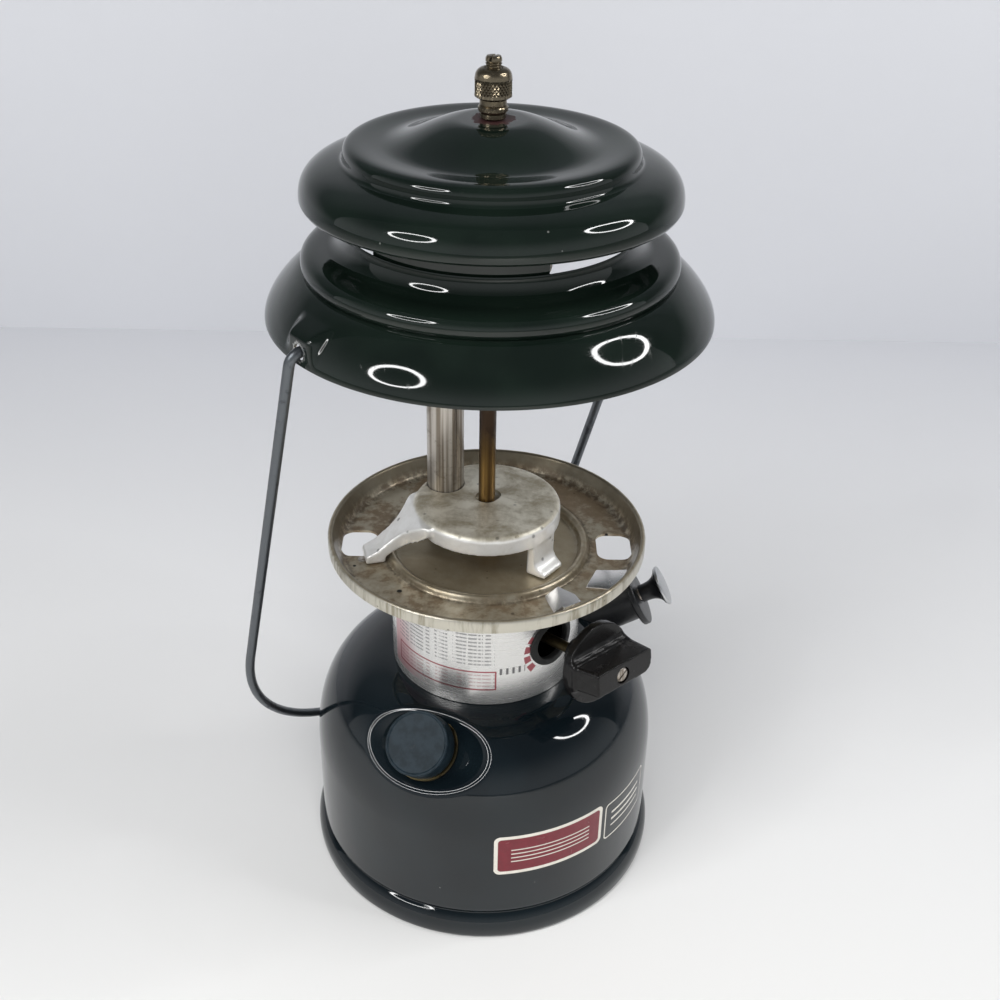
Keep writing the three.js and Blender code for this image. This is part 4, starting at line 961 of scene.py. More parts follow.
def dish_finish():
    """Nickelled dish: browned floor, grimy corner, bright bead, painted shade on the rim's inner wall and
    streaked rim band.
    """
    material, tree, place = blank_finish("dish nickel")
    _, away, _ = round_place(tree, place)
    large = clouds(tree, place, 52.0, 5.0, 0.62, 0.8)
    small = clouds(tree, place, 330.0, 4.0, 0.6)
    both = scaled(tree, small, 0.4, times(tree, large, 0.6))
    colour = mixed(tree, ranged(tree, both, 0.36, 0.62), paint(172, 163, 144), paint(140, 128, 106))
    floor_part = band(tree, away, BEAD_RADIUS + 2.4, 53.0, 1.4)
    hub_part = ranged(tree, away, BEAD_RADIUS - 1.6, BEAD_RADIUS - 4.2)
    brown = mixed(tree, small, paint(138, 112, 84), paint(96, 78, 58))
    rear = ranged(tree, shader(tree, "ShaderNodeSeparateXYZ", {"Vector": place}).outputs["Y"], -0.03, 0.03)
    stain = ranged(tree, plus(tree, both, times(tree, rear, 0.06)), 0.5, 0.6)
    stain = times(tree, stain, times(tree, floor_part, 0.6))
    # Painted shade: the rim's inner wall is tinted darker than the nickel
    shaded_wall = band(tree, away, 53.4, 56.0, 0.5)
    colour = tinted(tree, colour, shaded_wall, 0.75, paint(104, 97, 82))
    colour = mixed(tree, stain, colour, brown)
    hub_colour = mixed(tree, large, paint(174, 163, 138), paint(142, 128, 104))
    colour = tinted(tree, colour, hub_part, 0.7, hub_colour)
    corner = band(tree, away, 50.6, 53.4, 1.0)
    foot = band(tree, away, BEAD_RADIUS + 1.8, BEAD_RADIUS + 3.4, 0.7)
    grime = times(tree, most(tree, corner, foot), ranged(tree, small, 0.36, 0.6))
    colour = tinted(tree, colour, grime, 0.7, paint(66, 56, 44))
    rim = ranged(tree, away, 56.4, 56.9)
    streaks = effect(tree, BRUSHED, "Streaks", Place=place, Fine=40.0, Long=330.0)
    rim_colour = mixed(tree, ranged(tree, streaks, 0.44, 0.66), paint(190, 186, 174), paint(146, 140, 124))
    colour = mixed(tree, rim, colour, rim_colour)
    for x, y, radius in DISH_SPOTS:
        colour = mixed(tree, near_point(tree, place, x, y, radius), colour, paint(20, 17, 14))
    pits = effect(tree, SPECKS, "Mask", Place=place, Scale=330.0, Size=0.22, Share=0.12)
    colour = tinted(tree, colour, pits, 0.6, paint(50, 42, 34))
    marks = effect(tree, SCRATCHES, "Mask", Place=place, Scale=60.0, Width=0.02)
    rough = scaled(tree, stain, 0.24, 0.3)
    rough = plus(tree, rough, times(tree, hub_part, 0.14))
    rough = plus(tree, rough, times(tree, marks, 0.12))
    metal = minus(tree, 0.72, times(tree, most(tree, stain, grime), 0.35))
    surface(tree, {"Base Color": colour, "Roughness": rough, "Metallic": metal}, both, 0.22, 0.0004)
    return material


def cast_finish(name, clean, stained, lit_lip_highlight=False):
    """Cast alloy with its grain, pits and grime; where asked, painted near white below its top face as a
    painted highlight of the lit lip.
    """
    material, tree, place = blank_finish(name)
    height = effect(tree, CASTING, "Height", Place=place, Scale=900.0)
    pits = effect(tree, CASTING, "Pits", Place=place, Scale=900.0)
    cloud = clouds(tree, place, 95.0, 5.0, 0.6, 0.5)
    fine = clouds(tree, place, 520.0, 3.0, 0.6)
    cover = ranged(tree, scaled(tree, fine, 0.2, times(tree, cloud, 0.8)), 0.36, 0.66)
    rough = 0.46
    if lit_lip_highlight:
        # Painted highlight: below the top face the lip and legs turn near white and keep only a fifth of the
        # grime
        _, _, level = round_place(tree, place)
        top = ranged(tree, level, BRIDGE_TOP - 1.7, BRIDGE_TOP - 0.5)
        cover = times(tree, cover, scaled(tree, top, 0.8, 0.2))
        rough = scaled(tree, top, 0.1, 0.36)
        clean = mixed(tree, top, paint(250, 249, 246), clean)
    colour = mixed(tree, cover, clean, stained)
    colour = tinted(tree, colour, pits, 0.6, paint(52, 46, 40))
    surface(tree, {"Base Color": colour, "Roughness": rough, "Metallic": 0.6}, height, 0.3, 0.00025)
    return material


def tube_finish(name, clean, stained, heated):
    """Drawn tube with streaks along its length, blackened by heat at its top where asked."""
    material, tree, place = blank_finish(name)
    streaks = effect(tree, BRUSHED, "Streaks", Place=place, Fine=7.0, Long=620.0)
    stain = effect(tree, GRIME, "Mask", Place=place, Patch_Scale=70.0, Cover=0.45)
    colour = mixed(tree, ranged(tree, streaks, 0.4, 0.62), clean, stained)
    colour = tinted(tree, colour, stain, 0.5, paint(96, 84, 70))
    if heated:
        _, _, height = round_place(tree, place)
        level = scaled(tree, stain, 8.0, height)
        colour = mixed(tree, ranged(tree, level, HEAT_LOW, HEAT_HIGH), colour, paint(52, 38, 26))
    rough = scaled(tree, stain, 0.16, 0.3)
    surface(tree, {"Base Color": colour, "Roughness": rough, "Metallic": 0.8}, streaks, 0.06, 0.0001)
    return material


def dull_solid(name, dark, light, rough=0.5, scale=900.0, bump=0.2, shine=0.5):
    """Moulded or soft stuff with a fine grain."""
    material, tree, place = blank_finish(name)
    grain = clouds(tree, place, scale, 4.0, 0.6)
    dust = effect(tree, GRIME, "Mask", Place=place, Patch_Scale=120.0, Cover=0.3)
    colour = mixed(tree, ranged(tree, grain, 0.35, 0.65), dark, light)
    colour = tinted(tree, colour, dust, 0.12, paint(96, 95, 92))
    roughness = scaled(tree, dust, 0.15, rough)
    sockets = {"Base Color": colour, "Roughness": roughness, "Specular IOR Level": shine}
    surface(tree, sockets, grain, bump, 0.0002)
    return material


KNOB_PLASTIC = dull_solid("knob plastic", paint(12, 11, 11), paint(20, 19, 19), 0.26, 700.0, 0.1, 0.25)
LID_PLASTIC = dull_solid("lid plastic", paint(22, 32, 38), paint(32, 43, 50), 0.3, 260.0, 0.08, 0.12)
DULL_BRASS = plain_metal("dull brass", paint(74, 66, 46), paint(36, 30, 22), 0.4, 0.6, 90.0)
# Bright nickel of the dish pads: a painted highlight, far brighter than the dish
PAD_HIGHLIGHT_NICKEL = plain_metal("pad nickel highlight", paint(226, 224, 222), paint(180, 174, 164), 0.2, 0.25, 90.0)
TANK_ENAMEL = enamel_finish("tank enamel", paint(10, 17, 21), paint(15, 23, 27), label_marks)
VENT_ENAMEL = enamel_finish("vent enamel", paint(12, 20, 16), paint(17, 26, 21))
CAP_ENAMEL = enamel_finish("cap enamel", paint(12, 20, 16), paint(17, 26, 21), worn_hole)
SKIRT_ENAMEL = enamel_finish("skirt enamel", paint(12, 20, 16), paint(17, 26, 21), worn_ears)
PAN_STEEL = plain_metal("pan steel", paint(150, 150, 146), paint(96, 84, 70), 0.45, 0.5)
COLLAR_STEEL = collar_finish()
DISH_NICKEL = dish_finish()
CAST_METAL = cast_finish("cast metal", paint(186, 182, 172), paint(112, 102, 86))
# The bridge's lip and legs carry a painted highlight
BRIDGE_METAL = cast_finish("bridge metal", paint(222, 217, 202), paint(164, 154, 132), True)
TUBE_STEEL = tube_finish("tube steel", paint(196, 190, 182), paint(128, 118, 106), False)
GENERATOR_BRASS = tube_finish("generator brass", paint(134, 106, 60), paint(88, 66, 38), True)
BRASS = plain_metal("brass", paint(176, 138, 74), paint(92, 64, 34), 0.34, 0.6, 60.0)
BLACK_PLASTIC = dull_solid("black plastic", paint(16, 17, 19), paint(24, 25, 27), 0.34)
RUBBER = dull_solid("rubber", paint(18, 18, 18), paint(30, 30, 29), 0.7)
LEATHER = dull_solid("leather", paint(96, 62, 38), paint(132, 90, 56), 0.6)
ALUMINIUM = plain_metal("aluminium", paint(196, 197, 198), paint(150, 150, 150), 0.34, 0.35)
NUT_METAL = plain_metal("nut metal", paint(126, 116, 98), paint(74, 64, 50), 0.2, 0.35, 150.0)
WIRE_STEEL = plain_metal("wire steel", paint(104, 108, 112), paint(70, 72, 76), 0.36, 0.4)
MANTLE_ASH = dull_solid("mantle ash", paint(206, 204, 196), paint(232, 230, 224), 0.85)
BURNER_CERAMIC = dull_solid("burner ceramic", paint(170, 160, 148), paint(204, 196, 184), 0.8)


# Tank

def tank_outline():
    """The tank's outer face from the inside of its foot to its top hole."""
    points = [(FOOT_INSIDE, 0.4), (FOOT_INSIDE + 0.5, 0.0), (FOOT_RADIUS - 1.6, 0.0)]
    points += bow((FOOT_RADIUS - 1.4, 0.02), (FOOT_RADIUS - 0.4, 0.2), (FOOT_RADIUS, 1.6),
                  (FOOT_RADIUS, 4.0), 7)
    points += bow((FOOT_RADIUS, 4.6), (FOOT_RADIUS - 0.1, 7.6), (FOOT_RADIUS - 1.6, 9.6),
                  (GROOVE_RADIUS, FOOT_HEIGHT), 9)
    points += bow((GROOVE_RADIUS - 0.1, FOOT_HEIGHT + 0.3), (GROOVE_RADIUS - 0.1, FOOT_HEIGHT + 0.9),
                  (TANK_RADIUS - 0.1, FOOT_HEIGHT + 1.2), (TANK_RADIUS, FOOT_HEIGHT + 2.2), 6)
    wall_steps = 8
    low = FOOT_HEIGHT + 3.0
    points += [(TANK_RADIUS, low + (WALL_TOP - 1 - low) * step / wall_steps) for step in range(wall_steps)]
    points += bow((TANK_RADIUS, WALL_TOP), (TANK_RADIUS, WALL_TOP + 17.8),
                  (TANK_RADIUS - 5.8, TANK_TOP - 1.0), (DOME_EDGE, TANK_TOP), 96)
    points += [(DOME_EDGE - 6, TANK_TOP), (TANK_HOLE + 1, TANK_TOP), (TANK_HOLE, TANK_TOP - 0.2)]
    return points


def press_pocket(form):
    """Presses the filler's oval pocket into the dome."""
    back = FILLER_SEAT.inverted()
    turn = math.radians(POCKET_TURN)
    reach = POCKET_HALF_WIDTH + 16
    for vert in form.verts:
        spot = back @ vert.co
        if math.hypot(spot.x, spot.y) > reach or spot.z < -40:
            continue
        aside = spot.x - POCKET_ASIDE
        above = spot.y + POCKET_BELOW
        along = aside * math.cos(turn) + above * math.sin(turn)
        across = above * math.cos(turn) - aside * math.sin(turn)
        share = math.hypot(along / POCKET_HALF_WIDTH, across / POCKET_HALF_HEIGHT)
        mean = math.hypot(along, across) / max(share, 0.001)
        outside = (share - 1) * mean
        bowl = POCKET_FLOOR + POCKET_SLOPE * smooth_high(outside + POCKET_FOOT / 2, POCKET_FOOT)
        lowered = smooth_low(spot.z, bowl, POCKET_LIP)
        if lowered < spot.z:
            vert.co = FILLER_SEAT @ Vector((spot.x, spot.y, lowered))
    return form


def tank():
    """The tank: turned, pressed, and bored for the filler, pump and valve."""
    form = turned(tank_outline(), ((72, 144), (288, 120)), FILLER_AZIMUTH - 34, False)
    form = given_wall(press_pocket(form), TANK_SHEET)
    filler_bore = put(disc(NECK_RADIUS - 0.6, -30, 4), FILLER_SEAT)
    pump_bore = put(disc(PUMP_BODY - 1.2, -PUMP_DEPTH - 20, 4), PUMP_SEAT)
    return cut_out(form, filler_bore, pump_bore)


finished("tank_shell", tank(), TANK_ENAMEL, "fount", ["fount_shell"])


def tank_floor():
    """The pan that closes the tank from below."""
    outline = [(0, 0.8), (56, 0.8), (60.9, 0.8), (61.9, 1.1), (PAN_RADIUS, 1.9), (PAN_RADIUS, PAN_TOP)]
    outline += [(PAN_RADIUS - 1, PAN_TOP), (PAN_RADIUS - 1, 2.1), (60.9, 1.8), (0, 1.8)]
    return turned(outline, 144, closed=False)


finished("tank_floor", tank_floor(), PAN_STEEL, "fount", ["fount_base_pan"])


def filler_neck():
    """Threaded neck of the filler with its flange."""
    outline = [(NECK_BORE, NECK_LOW), (NECK_RADIUS, NECK_LOW), (NECK_RADIUS, -9.9), (NECK_FLANGE, -9.9)]
    outline += [(NECK_FLANGE, -9.1), (NECK_FLANGE - 0.3, -8.8), (NECK_RADIUS - 0.3, -8.8)]
    for ridge in range(3):
        low = -8.2 + ridge * 1.2
        outline += [(NECK_RADIUS - 0.35, low), (NECK_RADIUS, low + 0.4), (NECK_RADIUS, low + 0.55)]
        outline.append((NECK_RADIUS - 0.35, low + 0.95))
    outline += [(NECK_RADIUS - 0.4, NECK_HIGH - 0.2), (NECK_RADIUS - 0.6, NECK_HIGH)]
    outline += [(NECK_BORE + 0.3, NECK_HIGH), (NECK_BORE, NECK_HIGH - 0.3)]
    return put(turned(outline, 96), FILLER_SEAT)


finished("filler_spout", filler_neck(), DULL_BRASS, "fount", ["filler_neck"])


def filler_lid():
    """Round cap of the filler, with a slim raised rim."""
    outline = [(0, -0.25), (LID_RADIUS - 1.3, -0.25)]
    outline += bow((LID_RADIUS - 1.15, -0.25), (LID_RADIUS - 1.0, -0.22), (LID_RADIUS - 0.95, -0.05),
                   (LID_RADIUS - 0.8, 0), 4)
    outline += bow((LID_RADIUS - 0.5, 0), (LID_RADIUS - 0.15, 0), (LID_RADIUS, -0.15), (LID_RADIUS, -0.6), 5)
    outline += [(LID_RADIUS, -1.6), (LID_RADIUS, LID_LOW + 1.4), (LID_RADIUS, LID_LOW + 0.5)]
    outline += [(LID_RADIUS - 0.3, LID_LOW), (LID_BORE + 0.3, LID_LOW), (LID_BORE, LID_LOW + 0.3)]
    outline += [(LID_BORE, -LID_WALL), (0, -LID_WALL)]
    form = turned(outline, 144, closed=False)
    return put(form, FILLER_SEAT)


finished("filler_lid", filler_lid(), LID_PLASTIC, "filler_cap", ["filler_cap"])


# Pump

def pump_housing():
    """Housing that leads the pump rod out of the dome."""
    hole = ROD_RADIUS + ROD_GAP
    corners = [(hole, 0), (PUMP_FLANGE, 0), (PUMP_FLANGE, -FLANGE_THICK), (PUMP_BODY, -FLANGE_THICK)]
    corners += [(PUMP_BODY, -PUMP_DEPTH), (PUMP_BORE, -PUMP_DEPTH), (PUMP_BORE, -2.2), (hole, -2.2)]
    return put(turned(rounded(corners, 0.6), 96), PUMP_SEAT)


finished("pump_housing", pump_housing(), BLACK_PLASTIC, "fount", ["pump_cap"])


def pump_grip():
    """Trumpet-shaped grip of the pump."""
    outline = bow((3.5, KNOB_START), (3.5, 4.4), (3.7, 7.4), (7.2, KNOB_END), 20)
    outline += [(ROD_BORE, KNOB_END), (ROD_BORE, KNOB_START)]
    return put(turned(outline, 72), PUMP_SEAT)


finished("pump_grip", pump_grip(), BLACK_PLASTIC, "pump_plunger", ["pump_knob"])


def pump_disc():
    """Crowned metal disc on the end of the grip."""
    outline = [(0, DISC_START), (DISC_RADIUS - 0.4, DISC_START), (DISC_RADIUS, DISC_START + 0.4)]
    outline += bow((DISC_RADIUS, DISC_END - 0.9), (DISC_RADIUS, DISC_END - 0.5),
                   (DISC_RADIUS - 2, DISC_END - 0.25), (0, DISC_END), 10)
    return put(turned(outline, 96, closed=False), PUMP_SEAT)


finished("pump_disc", pump_disc(), ALUMINIUM, "pump_plunger", ["pump_knob_disc"])


def pump_rod():
    """Hollow rod of the pump."""
    return put(turned(pipe(ROD_RADIUS, ROD_BORE, PUMP_ROD_LOW, PUMP_ROD_HIGH), 40), PUMP_SEAT)


finished("pump_shaft", pump_rod(), TUBE_STEEL, "pump_plunger", ["pump_rod"])


# Collar

def collar():
    """Bright sheet collar between the tank and the globe rest."""
    face = [(COLLAR_RADIUS, COLLAR_LOW), (COLLAR_RADIUS, COLLAR_HIGH - 1.2)]
    face += bow((COLLAR_RADIUS, COLLAR_HIGH - 1.1), (COLLAR_RADIUS, COLLAR_HIGH - 0.3),
                (COLLAR_RADIUS - 0.4, COLLAR_HIGH), (COLLAR_RADIUS - 1.2, COLLAR_HIGH), 5)
    face += [(COLLAR_LIP, COLLAR_HIGH)]
    form = turned(sheet_of(face, COLLAR_SHEET), 180)
    return cut_out(form, put(disc(RING_NECK + 0.3, 20, 45, 64), VALVE_SEAT))


finished("collar_band", collar(), COLLAR_STEEL, "fount", ["collar"])


# Valve

def valve_ring():
    """Rubber ring that lines the valve's hole and follows the round collar."""
    outline = rounded([(RING_BORE, -1.6), (RING_NECK, -1.6), (RING_NECK, 0.1), (RING_RADIUS, 0.1),
                       (RING_RADIUS, RING_PROUD), (RING_BORE, RING_PROUD)], 0.55)
    form = turned(outline, 96)
    tilt = math.radians(VALVE_LIFT)
    for vert in form.verts:
        away = math.sqrt(COLLAR_RADIUS ** 2 - vert.co.x ** 2)
        vert.co.z += away / math.cos(tilt) + vert.co.y * math.tan(tilt)
    return put(form, VALVE_SEAT)


finished("valve_ring", valve_ring(), RUBBER, "fount", ["valve_hole_ring"])
gland = nut(PACKING_RADIUS, STEM_RADIUS + 0.2, PACKING_LOW, PACKING_TOP)
finished("valve_gland", put(gland, VALVE_SEAT), DULL_BRASS, "fount", ["packing_nut"])


def valve_stem():
    """Turned spindle of the valve, waisted behind its knob."""
    outline = [(0, 3), (1.6, 3), (STEM_RADIUS, 3.5), (STEM_RADIUS, 26), (STEM_WAIST, 26.4)]
    outline += [(STEM_WAIST, 27.8), (STEM_RADIUS, 28.2), (STEM_RADIUS, STEM_END - 0.5)]
    outline += [(1.6, STEM_END), (0, STEM_END)]
    return put(turned(outline, 40, closed=False), VALVE_SEAT)


finished("valve_spindle", valve_stem(), DULL_BRASS, "valve", ["valve_stem"])


def valve_knob():
    """Moulded knob: a hub, a round dial and a wing that blends into it."""
    half = DIAL_RADIUS - 0.4
    low = WING_HEIGHT / 2
    corners = (0.9, 4.2, 1.2, 0.9)
    wings = []
    for grown, top in ((0.3, WING_END), (0.8, DIAL_END + 2.4), (1.4, DIAL_END + 1.4), (2.3, DIAL_END + 0.6)):
        plan = rounded(box_outline(half, low + grown), tuple(corner + grown for corner in corners), 8)
        wings.append(slab(plan, DIAL_END - 1, top))
    for vert in wings[0].verts:
        if vert.co.z > DIAL_END:
            vert.co.x = (vert.co.x + half) * WING_WIDTH / (2 * half) - half + WING_TAPER
            vert.co.y *= low / (low + 0.3)
    turn = Matrix.Rotation(math.radians(WING_TURN), 4, "Z")
    wing = put(shifted(together(*wings), 0, WING_RISE), turn)
    hub = disc(HUB_RADIUS, HUB_START, DIAL_START + 1.5, 72)
    form = melted(together(hub, disc(DIAL_RADIUS, DIAL_START, DIAL_END, 144), wing), KNOB_GRAIN, 5)
    return put(cut_out(form, disc(SCREW_SEAT, 64.5, 72, 48), disc(STEM_RADIUS + 0.1, 40, 63, 32)), VALVE_SEAT)


finished("valve_knob_grip", valve_knob(), KNOB_PLASTIC, "valve", ["valve_knob"], 50)
knob_screw = slotted(SCREW_RADIUS, SCREW_START, SCREW_END, 0.8, 0.8, 0.7)
finished("knob_screw", put(knob_screw, VALVE_SEAT @ Matrix.Rotation(SCREW_TURN, 4, "Z")), TUBE_STEEL, "valve",
         ["valve_knob_screw"])


# Globe rest

def dish():
    """Dished globe rest with its bead, rolled rim and holes."""
    face = [(0, DISH_HUB), (BEAD_RADIUS - BEAD_WIDTH - 0.8, DISH_HUB)]
    face += bow((BEAD_RADIUS - BEAD_WIDTH, DISH_HUB), (BEAD_RADIUS - 1.6, DISH_HUB + 0.4),
                (BEAD_RADIUS - 1.6, BEAD_TOP), (BEAD_RADIUS, BEAD_TOP), 8)
    face += bow((BEAD_RADIUS + 0.2, BEAD_TOP), (BEAD_RADIUS + 1.6, BEAD_TOP),
                (BEAD_RADIUS + 1.6, DISH_FLOOR + 0.4), (BEAD_RADIUS + BEAD_WIDTH, DISH_FLOOR), 8)
    face += [(44, DISH_FLOOR)]
    face += bow((50.6, DISH_FLOOR), (52.2, DISH_FLOOR), (52.6, DISH_FLOOR + 1.0), (53.2, 135.2), 6)
    face += [(55.0, 139.1)]
    face += bow((55.15, 139.4), (55.5, 140.3), (56.7, 140.4), (DISH_RADIUS, 139.2), 6)
    face += [(DISH_RADIUS, BAND_LOW)]
    under = DISH_FLOOR - DISH_SHEET
    inner = DISH_RADIUS - DISH_SHEET
    outline = face + [(inner, BAND_LOW), (inner, 138.8), (55.9, 139.0), (54.0, 134.6)]
    outline += [(52.4, DISH_FLOOR - 0.6)]
    outline += [(51.0, under), (BEAD_RADIUS + BEAD_WIDTH - 0.9, under)]
    outline += [(BEAD_RADIUS + 0.5, BEAD_TOP - DISH_SHEET), (BEAD_RADIUS - 0.5, BEAD_TOP - DISH_SHEET)]
    outline += [(BEAD_RADIUS - BEAD_WIDTH + 0.7, DISH_HUB - DISH_SHEET), (0, DISH_HUB - DISH_SHEET)]
    form = turned(outline, 192, closed=False)
    hole = rounded(box_outline(MATCH_HOLE_DEEP / 2, MATCH_HOLE_WIDE / 2), MATCH_HOLE_CORNER, 6)
    tools = []
    for side in (1, -1):
        cutter = slab(hole, DISH_FLOOR - OVERRUN, DISH_FLOOR + OVERRUN)
        tools.append(shifted(cutter, side * MATCH_HOLE_X, MATCH_HOLE_Y))
    tools.append(disc(VALVE_HOLE, DISH_HUB - OVERRUN, DISH_HUB + OVERRUN))
    tools.append(shifted(disc(AIR_HOLE, DISH_HUB - OVERRUN, DISH_HUB + OVERRUN), *AIR_TUBE))
    return cut_out(form, *tools)


finished("globe_dish", dish(), DISH_NICKEL, "fount", ["globe_rest"])


def dish_pads():
    """Two raised pads between the bead and the rim, painted bright nickel as a painted highlight."""
    front_pad = slab(PAD_FRONT, DISH_FLOOR - 0.3, DISH_FLOOR + 1.5)
    for vert in front_pad.verts:
        for start, end in zip(PAD_FRONT, PAD_FRONT_TOP):
            if vert.co.z > DISH_FLOOR and (vert.co.xy - Vector(start)).length < MERGE_GAP:
                vert.co.xy = end
    return together(front_pad, slab(PAD_RIGHT, DISH_FLOOR - 0.3, DISH_FLOOR + 0.9, 0.35))


finished("dish_pads", dish_pads(), PAD_HIGHLIGHT_NICKEL, "fount")


def leg(side, azimuth, wide, spread):
    """One leg of the bridge from its side view, fanned out where it leaves the plate."""
    form = slab(side, -wide / 2, wide / 2)
    bmesh.ops.triangulate(form, faces=form.faces)
    bmesh.ops.subdivide_edges(form, edges=form.edges, cuts=5, use_grid_fill=True)
    for vert in form.verts:
        fan = 1 - smooth_step(vert.co.x, BRIDGE_RADIUS - 3, BRIDGE_RADIUS + LEG_FAN_REACH)
        vert.co.z *= 1 + spread * fan * fan
    upright = Matrix.Rotation(math.pi / 2, 4, "X")
    return put(form, Matrix.Rotation(math.radians(azimuth - 90), 4, "Z") @ upright)


def bridge():
    """Cast bridge over the valve, in one piece with its legs."""
    inner = BRIDGE_RADIUS - BRIDGE_WALL
    shoulder = BRIDGE_TOP - BRIDGE_ROUND
    roof = BRIDGE_TOP - BRIDGE_WALL
    outline = [(0, BRIDGE_TOP), (BRIDGE_RADIUS - BRIDGE_ROUND, BRIDGE_TOP), (BRIDGE_RADIUS, shoulder)]
    outline += [(BRIDGE_RADIUS, BRIDGE_LIP), (inner, BRIDGE_LIP), (inner, roof), (0, roof)]
    plate = turned(outline, 96, closed=False)
    floor = DISH_FLOOR + 0.3
    hub = DISH_HUB + 0.3
    clear = BEAD_TOP + 0.3
    long_side = [(inner, BRIDGE_LIP + BRIDGE_WALL), (LEG_KNEE - 2 * LEG_THICK, clear + BRIDGE_WALL + 1.2)]
    long_side += [(LEG_KNEE, clear), (LEG_KNEE + 0.3, floor), (LONG_REACH, floor)]
    long_side += [(LONG_REACH, floor + LEG_THICK), (LEG_KNEE + LEG_THICK, clear + LEG_THICK)]
    long_side += [(BRIDGE_RADIUS, shoulder), (inner, shoulder)]
    outer = BRIDGE_RADIUS - 0.5
    short_side = [(inner - 0.8, BRIDGE_TOP - 2), (inner - 1.4, hub), (SHORT_REACH, hub)]
    short_side += [(SHORT_REACH, hub + 1.6), (outer + 1.4, hub + 3.0), (outer, hub + 5.0)]
    short_side += [(outer, BRIDGE_TOP - 2)]
    legs = [leg(long_side, LONG_LEG, LONG_LEG_WIDTH, LEG_FAN)]
    legs += [leg(short_side, azimuth, SHORT_LEG_WIDTH, 0.15) for azimuth in (SHORT_LEG, REAR_LEG)]
    form = melted(together(plate, *legs), BRIDGE_GRAIN, 7)
    slot = slab(stadium((-0.2, 1.6), (0.8, 3.0), 4.1), *BRIDGE_CUT)
    air_hole = shifted(disc(AIR_HOLE, *BRIDGE_CUT), *AIR_TUBE)
    pit = shifted(disc(0.8, BRIDGE_TOP - 0.9, BRIDGE_CUT[1], 10), *CASTING_PIT)
    return cut_out(form, slot, air_hole, pit)


finished("bridge_casting", bridge(), BRIDGE_METAL, "fount", ["bridge"], 50)


for number, (azimuth, reach, underside) in enumerate(BRIDGE_FEET, 1):
    head = put(slotted(3.4, 0, 1.8, 0.9, 0.9), Matrix.Rotation(math.pi, 4, "X"))
    shank = disc(1.7, 0, 1.3, 24, 0.3)
    foot = heading(azimuth, 0) * reach
    screw = shifted(together(head, shank), foot.x, foot.y, underside)
    finished(f"foot_screw_{number}", screw, TUBE_STEEL, "fount", [f"bridge_screw_{number}"])


# Tubes and burner

def air_tube():
    """Air tube."""
    return shifted(turned(pipe(AIR_RADIUS, AIR_BORE, AIR_LOW, TUBE_TOP), 72), *AIR_TUBE)


finished("air_pipe", air_tube(), TUBE_STEEL, "fount", ["air_tube"])


def generator():
    """Generator tube."""
    outline = pipe(GENERATOR_RADIUS, GENERATOR_BORE, GENERATOR_LOW, GENERATOR_TOP)
    return shifted(turned(outline, 64), *GENERATOR)


finished("generator_pipe", generator(), GENERATOR_BRASS, "fount", ["generator_tube"])


def jam_nut():
    """Nut that holds the generator on the valve."""
    bores = [shifted(disc(GENERATOR_RADIUS + 0.15, low, 143, 32), *GENERATOR) for low in (131, 135)]
    lower = cut_out(nut(JAM_RADIUS, 4.2, JAM_LOW, JAM_SEAM), bores[0])
    upper = cut_out(nut(JAM_RADIUS, 1.0, JAM_SEAM, JAM_TOP), bores[1])
    return together(lower, upper)


finished("generator_nut", jam_nut(), BRASS, "fount", ["generator_jam_nut"])


def mixing_chamber():
    """Cast chamber across the top of the air tube and the burner."""
    body = slab(stadium(AIR_TUBE, BURNER, MANIFOLD_RADIUS, 28), MANIFOLD_LOW, MANIFOLD_TOP)
    boss = disc(7.4, MANIFOLD_TOP - 3, MANIFOLD_TOP, 60)
    sleeves = [shifted(disc(MANIFOLD_RADIUS, SLEEVE_LOW, MANIFOLD_LOW + 1, 72), *AIR_TUBE)]
    sleeves.append(shifted(disc(6.2, SLEEVE_LOW, MANIFOLD_LOW + 1, 60), *BURNER))
    form = melted(together(body, boss, *sleeves), MANIFOLD_GRAIN, 5)
    air_bore = shifted(disc(AIR_RADIUS - 0.2, *MANIFOLD_CUT), *AIR_TUBE)
    return cut_out(form, air_bore, shifted(disc(BURNER_RADIUS - 0.2, *MANIFOLD_CUT), *BURNER))


finished("mixing_casting", mixing_chamber(), CAST_METAL, "fount", ["mixing_chamber"], 50)


def stud():
    """Threaded stud that carries the ventilator, split at its tip."""
    outline = [(0, STUD_LOW), (STUD_RADIUS, STUD_LOW), (STUD_RADIUS, 262.3), (4.9, 262.3), (5.2, 262.6)]
    outline += [(5.2, 284.9), (4.8, 285.3), (2.45, 285.3)]
    height = THREAD_LOW
    while height < STUD_TOP - 1.1:
        outline += [(2.15, height), (STUD_RADIUS, height + 0.3), (STUD_RADIUS, height + 0.4)]
        height += STUD_PITCH
    outline += [(2.45, STUD_TOP - 0.7), (2.1, STUD_TOP - 0.1), (1.7, STUD_TOP), (0, STUD_TOP)]
    blade = slab(box_outline(4, 0.45), STUD_TOP - 1.3, STUD_TOP + 1)
    put(blade, Matrix.Rotation(STUD_SLOT_TURN, 4, "Z"))
    return cut_out(turned(outline, 48, closed=False), blade)


finished("vent_stud", stud(), NUT_METAL, "fount", ["ventilator_stud"])


def gas_tip():
    """Hexagonal jet at the top of the generator, with its shank."""
    return together(nut(3.4, 0.5, 241, 246.7), disc(3.0, 246.7, 248.6, 32, 0.3))


finished("gas_jet", shifted(gas_tip(), *GENERATOR), BRASS, "fount", ["gas_tip"])


def burner_tube():
    """Short tube that feeds the burner."""
    outline = pipe(BURNER_RADIUS, BURNER_BORE, BURNER_LOW, TUBE_TOP)
    return shifted(turned(outline, 56), *BURNER)


finished("burner_pipe", burner_tube(), TUBE_STEEL, "fount", ["burner_tube"])


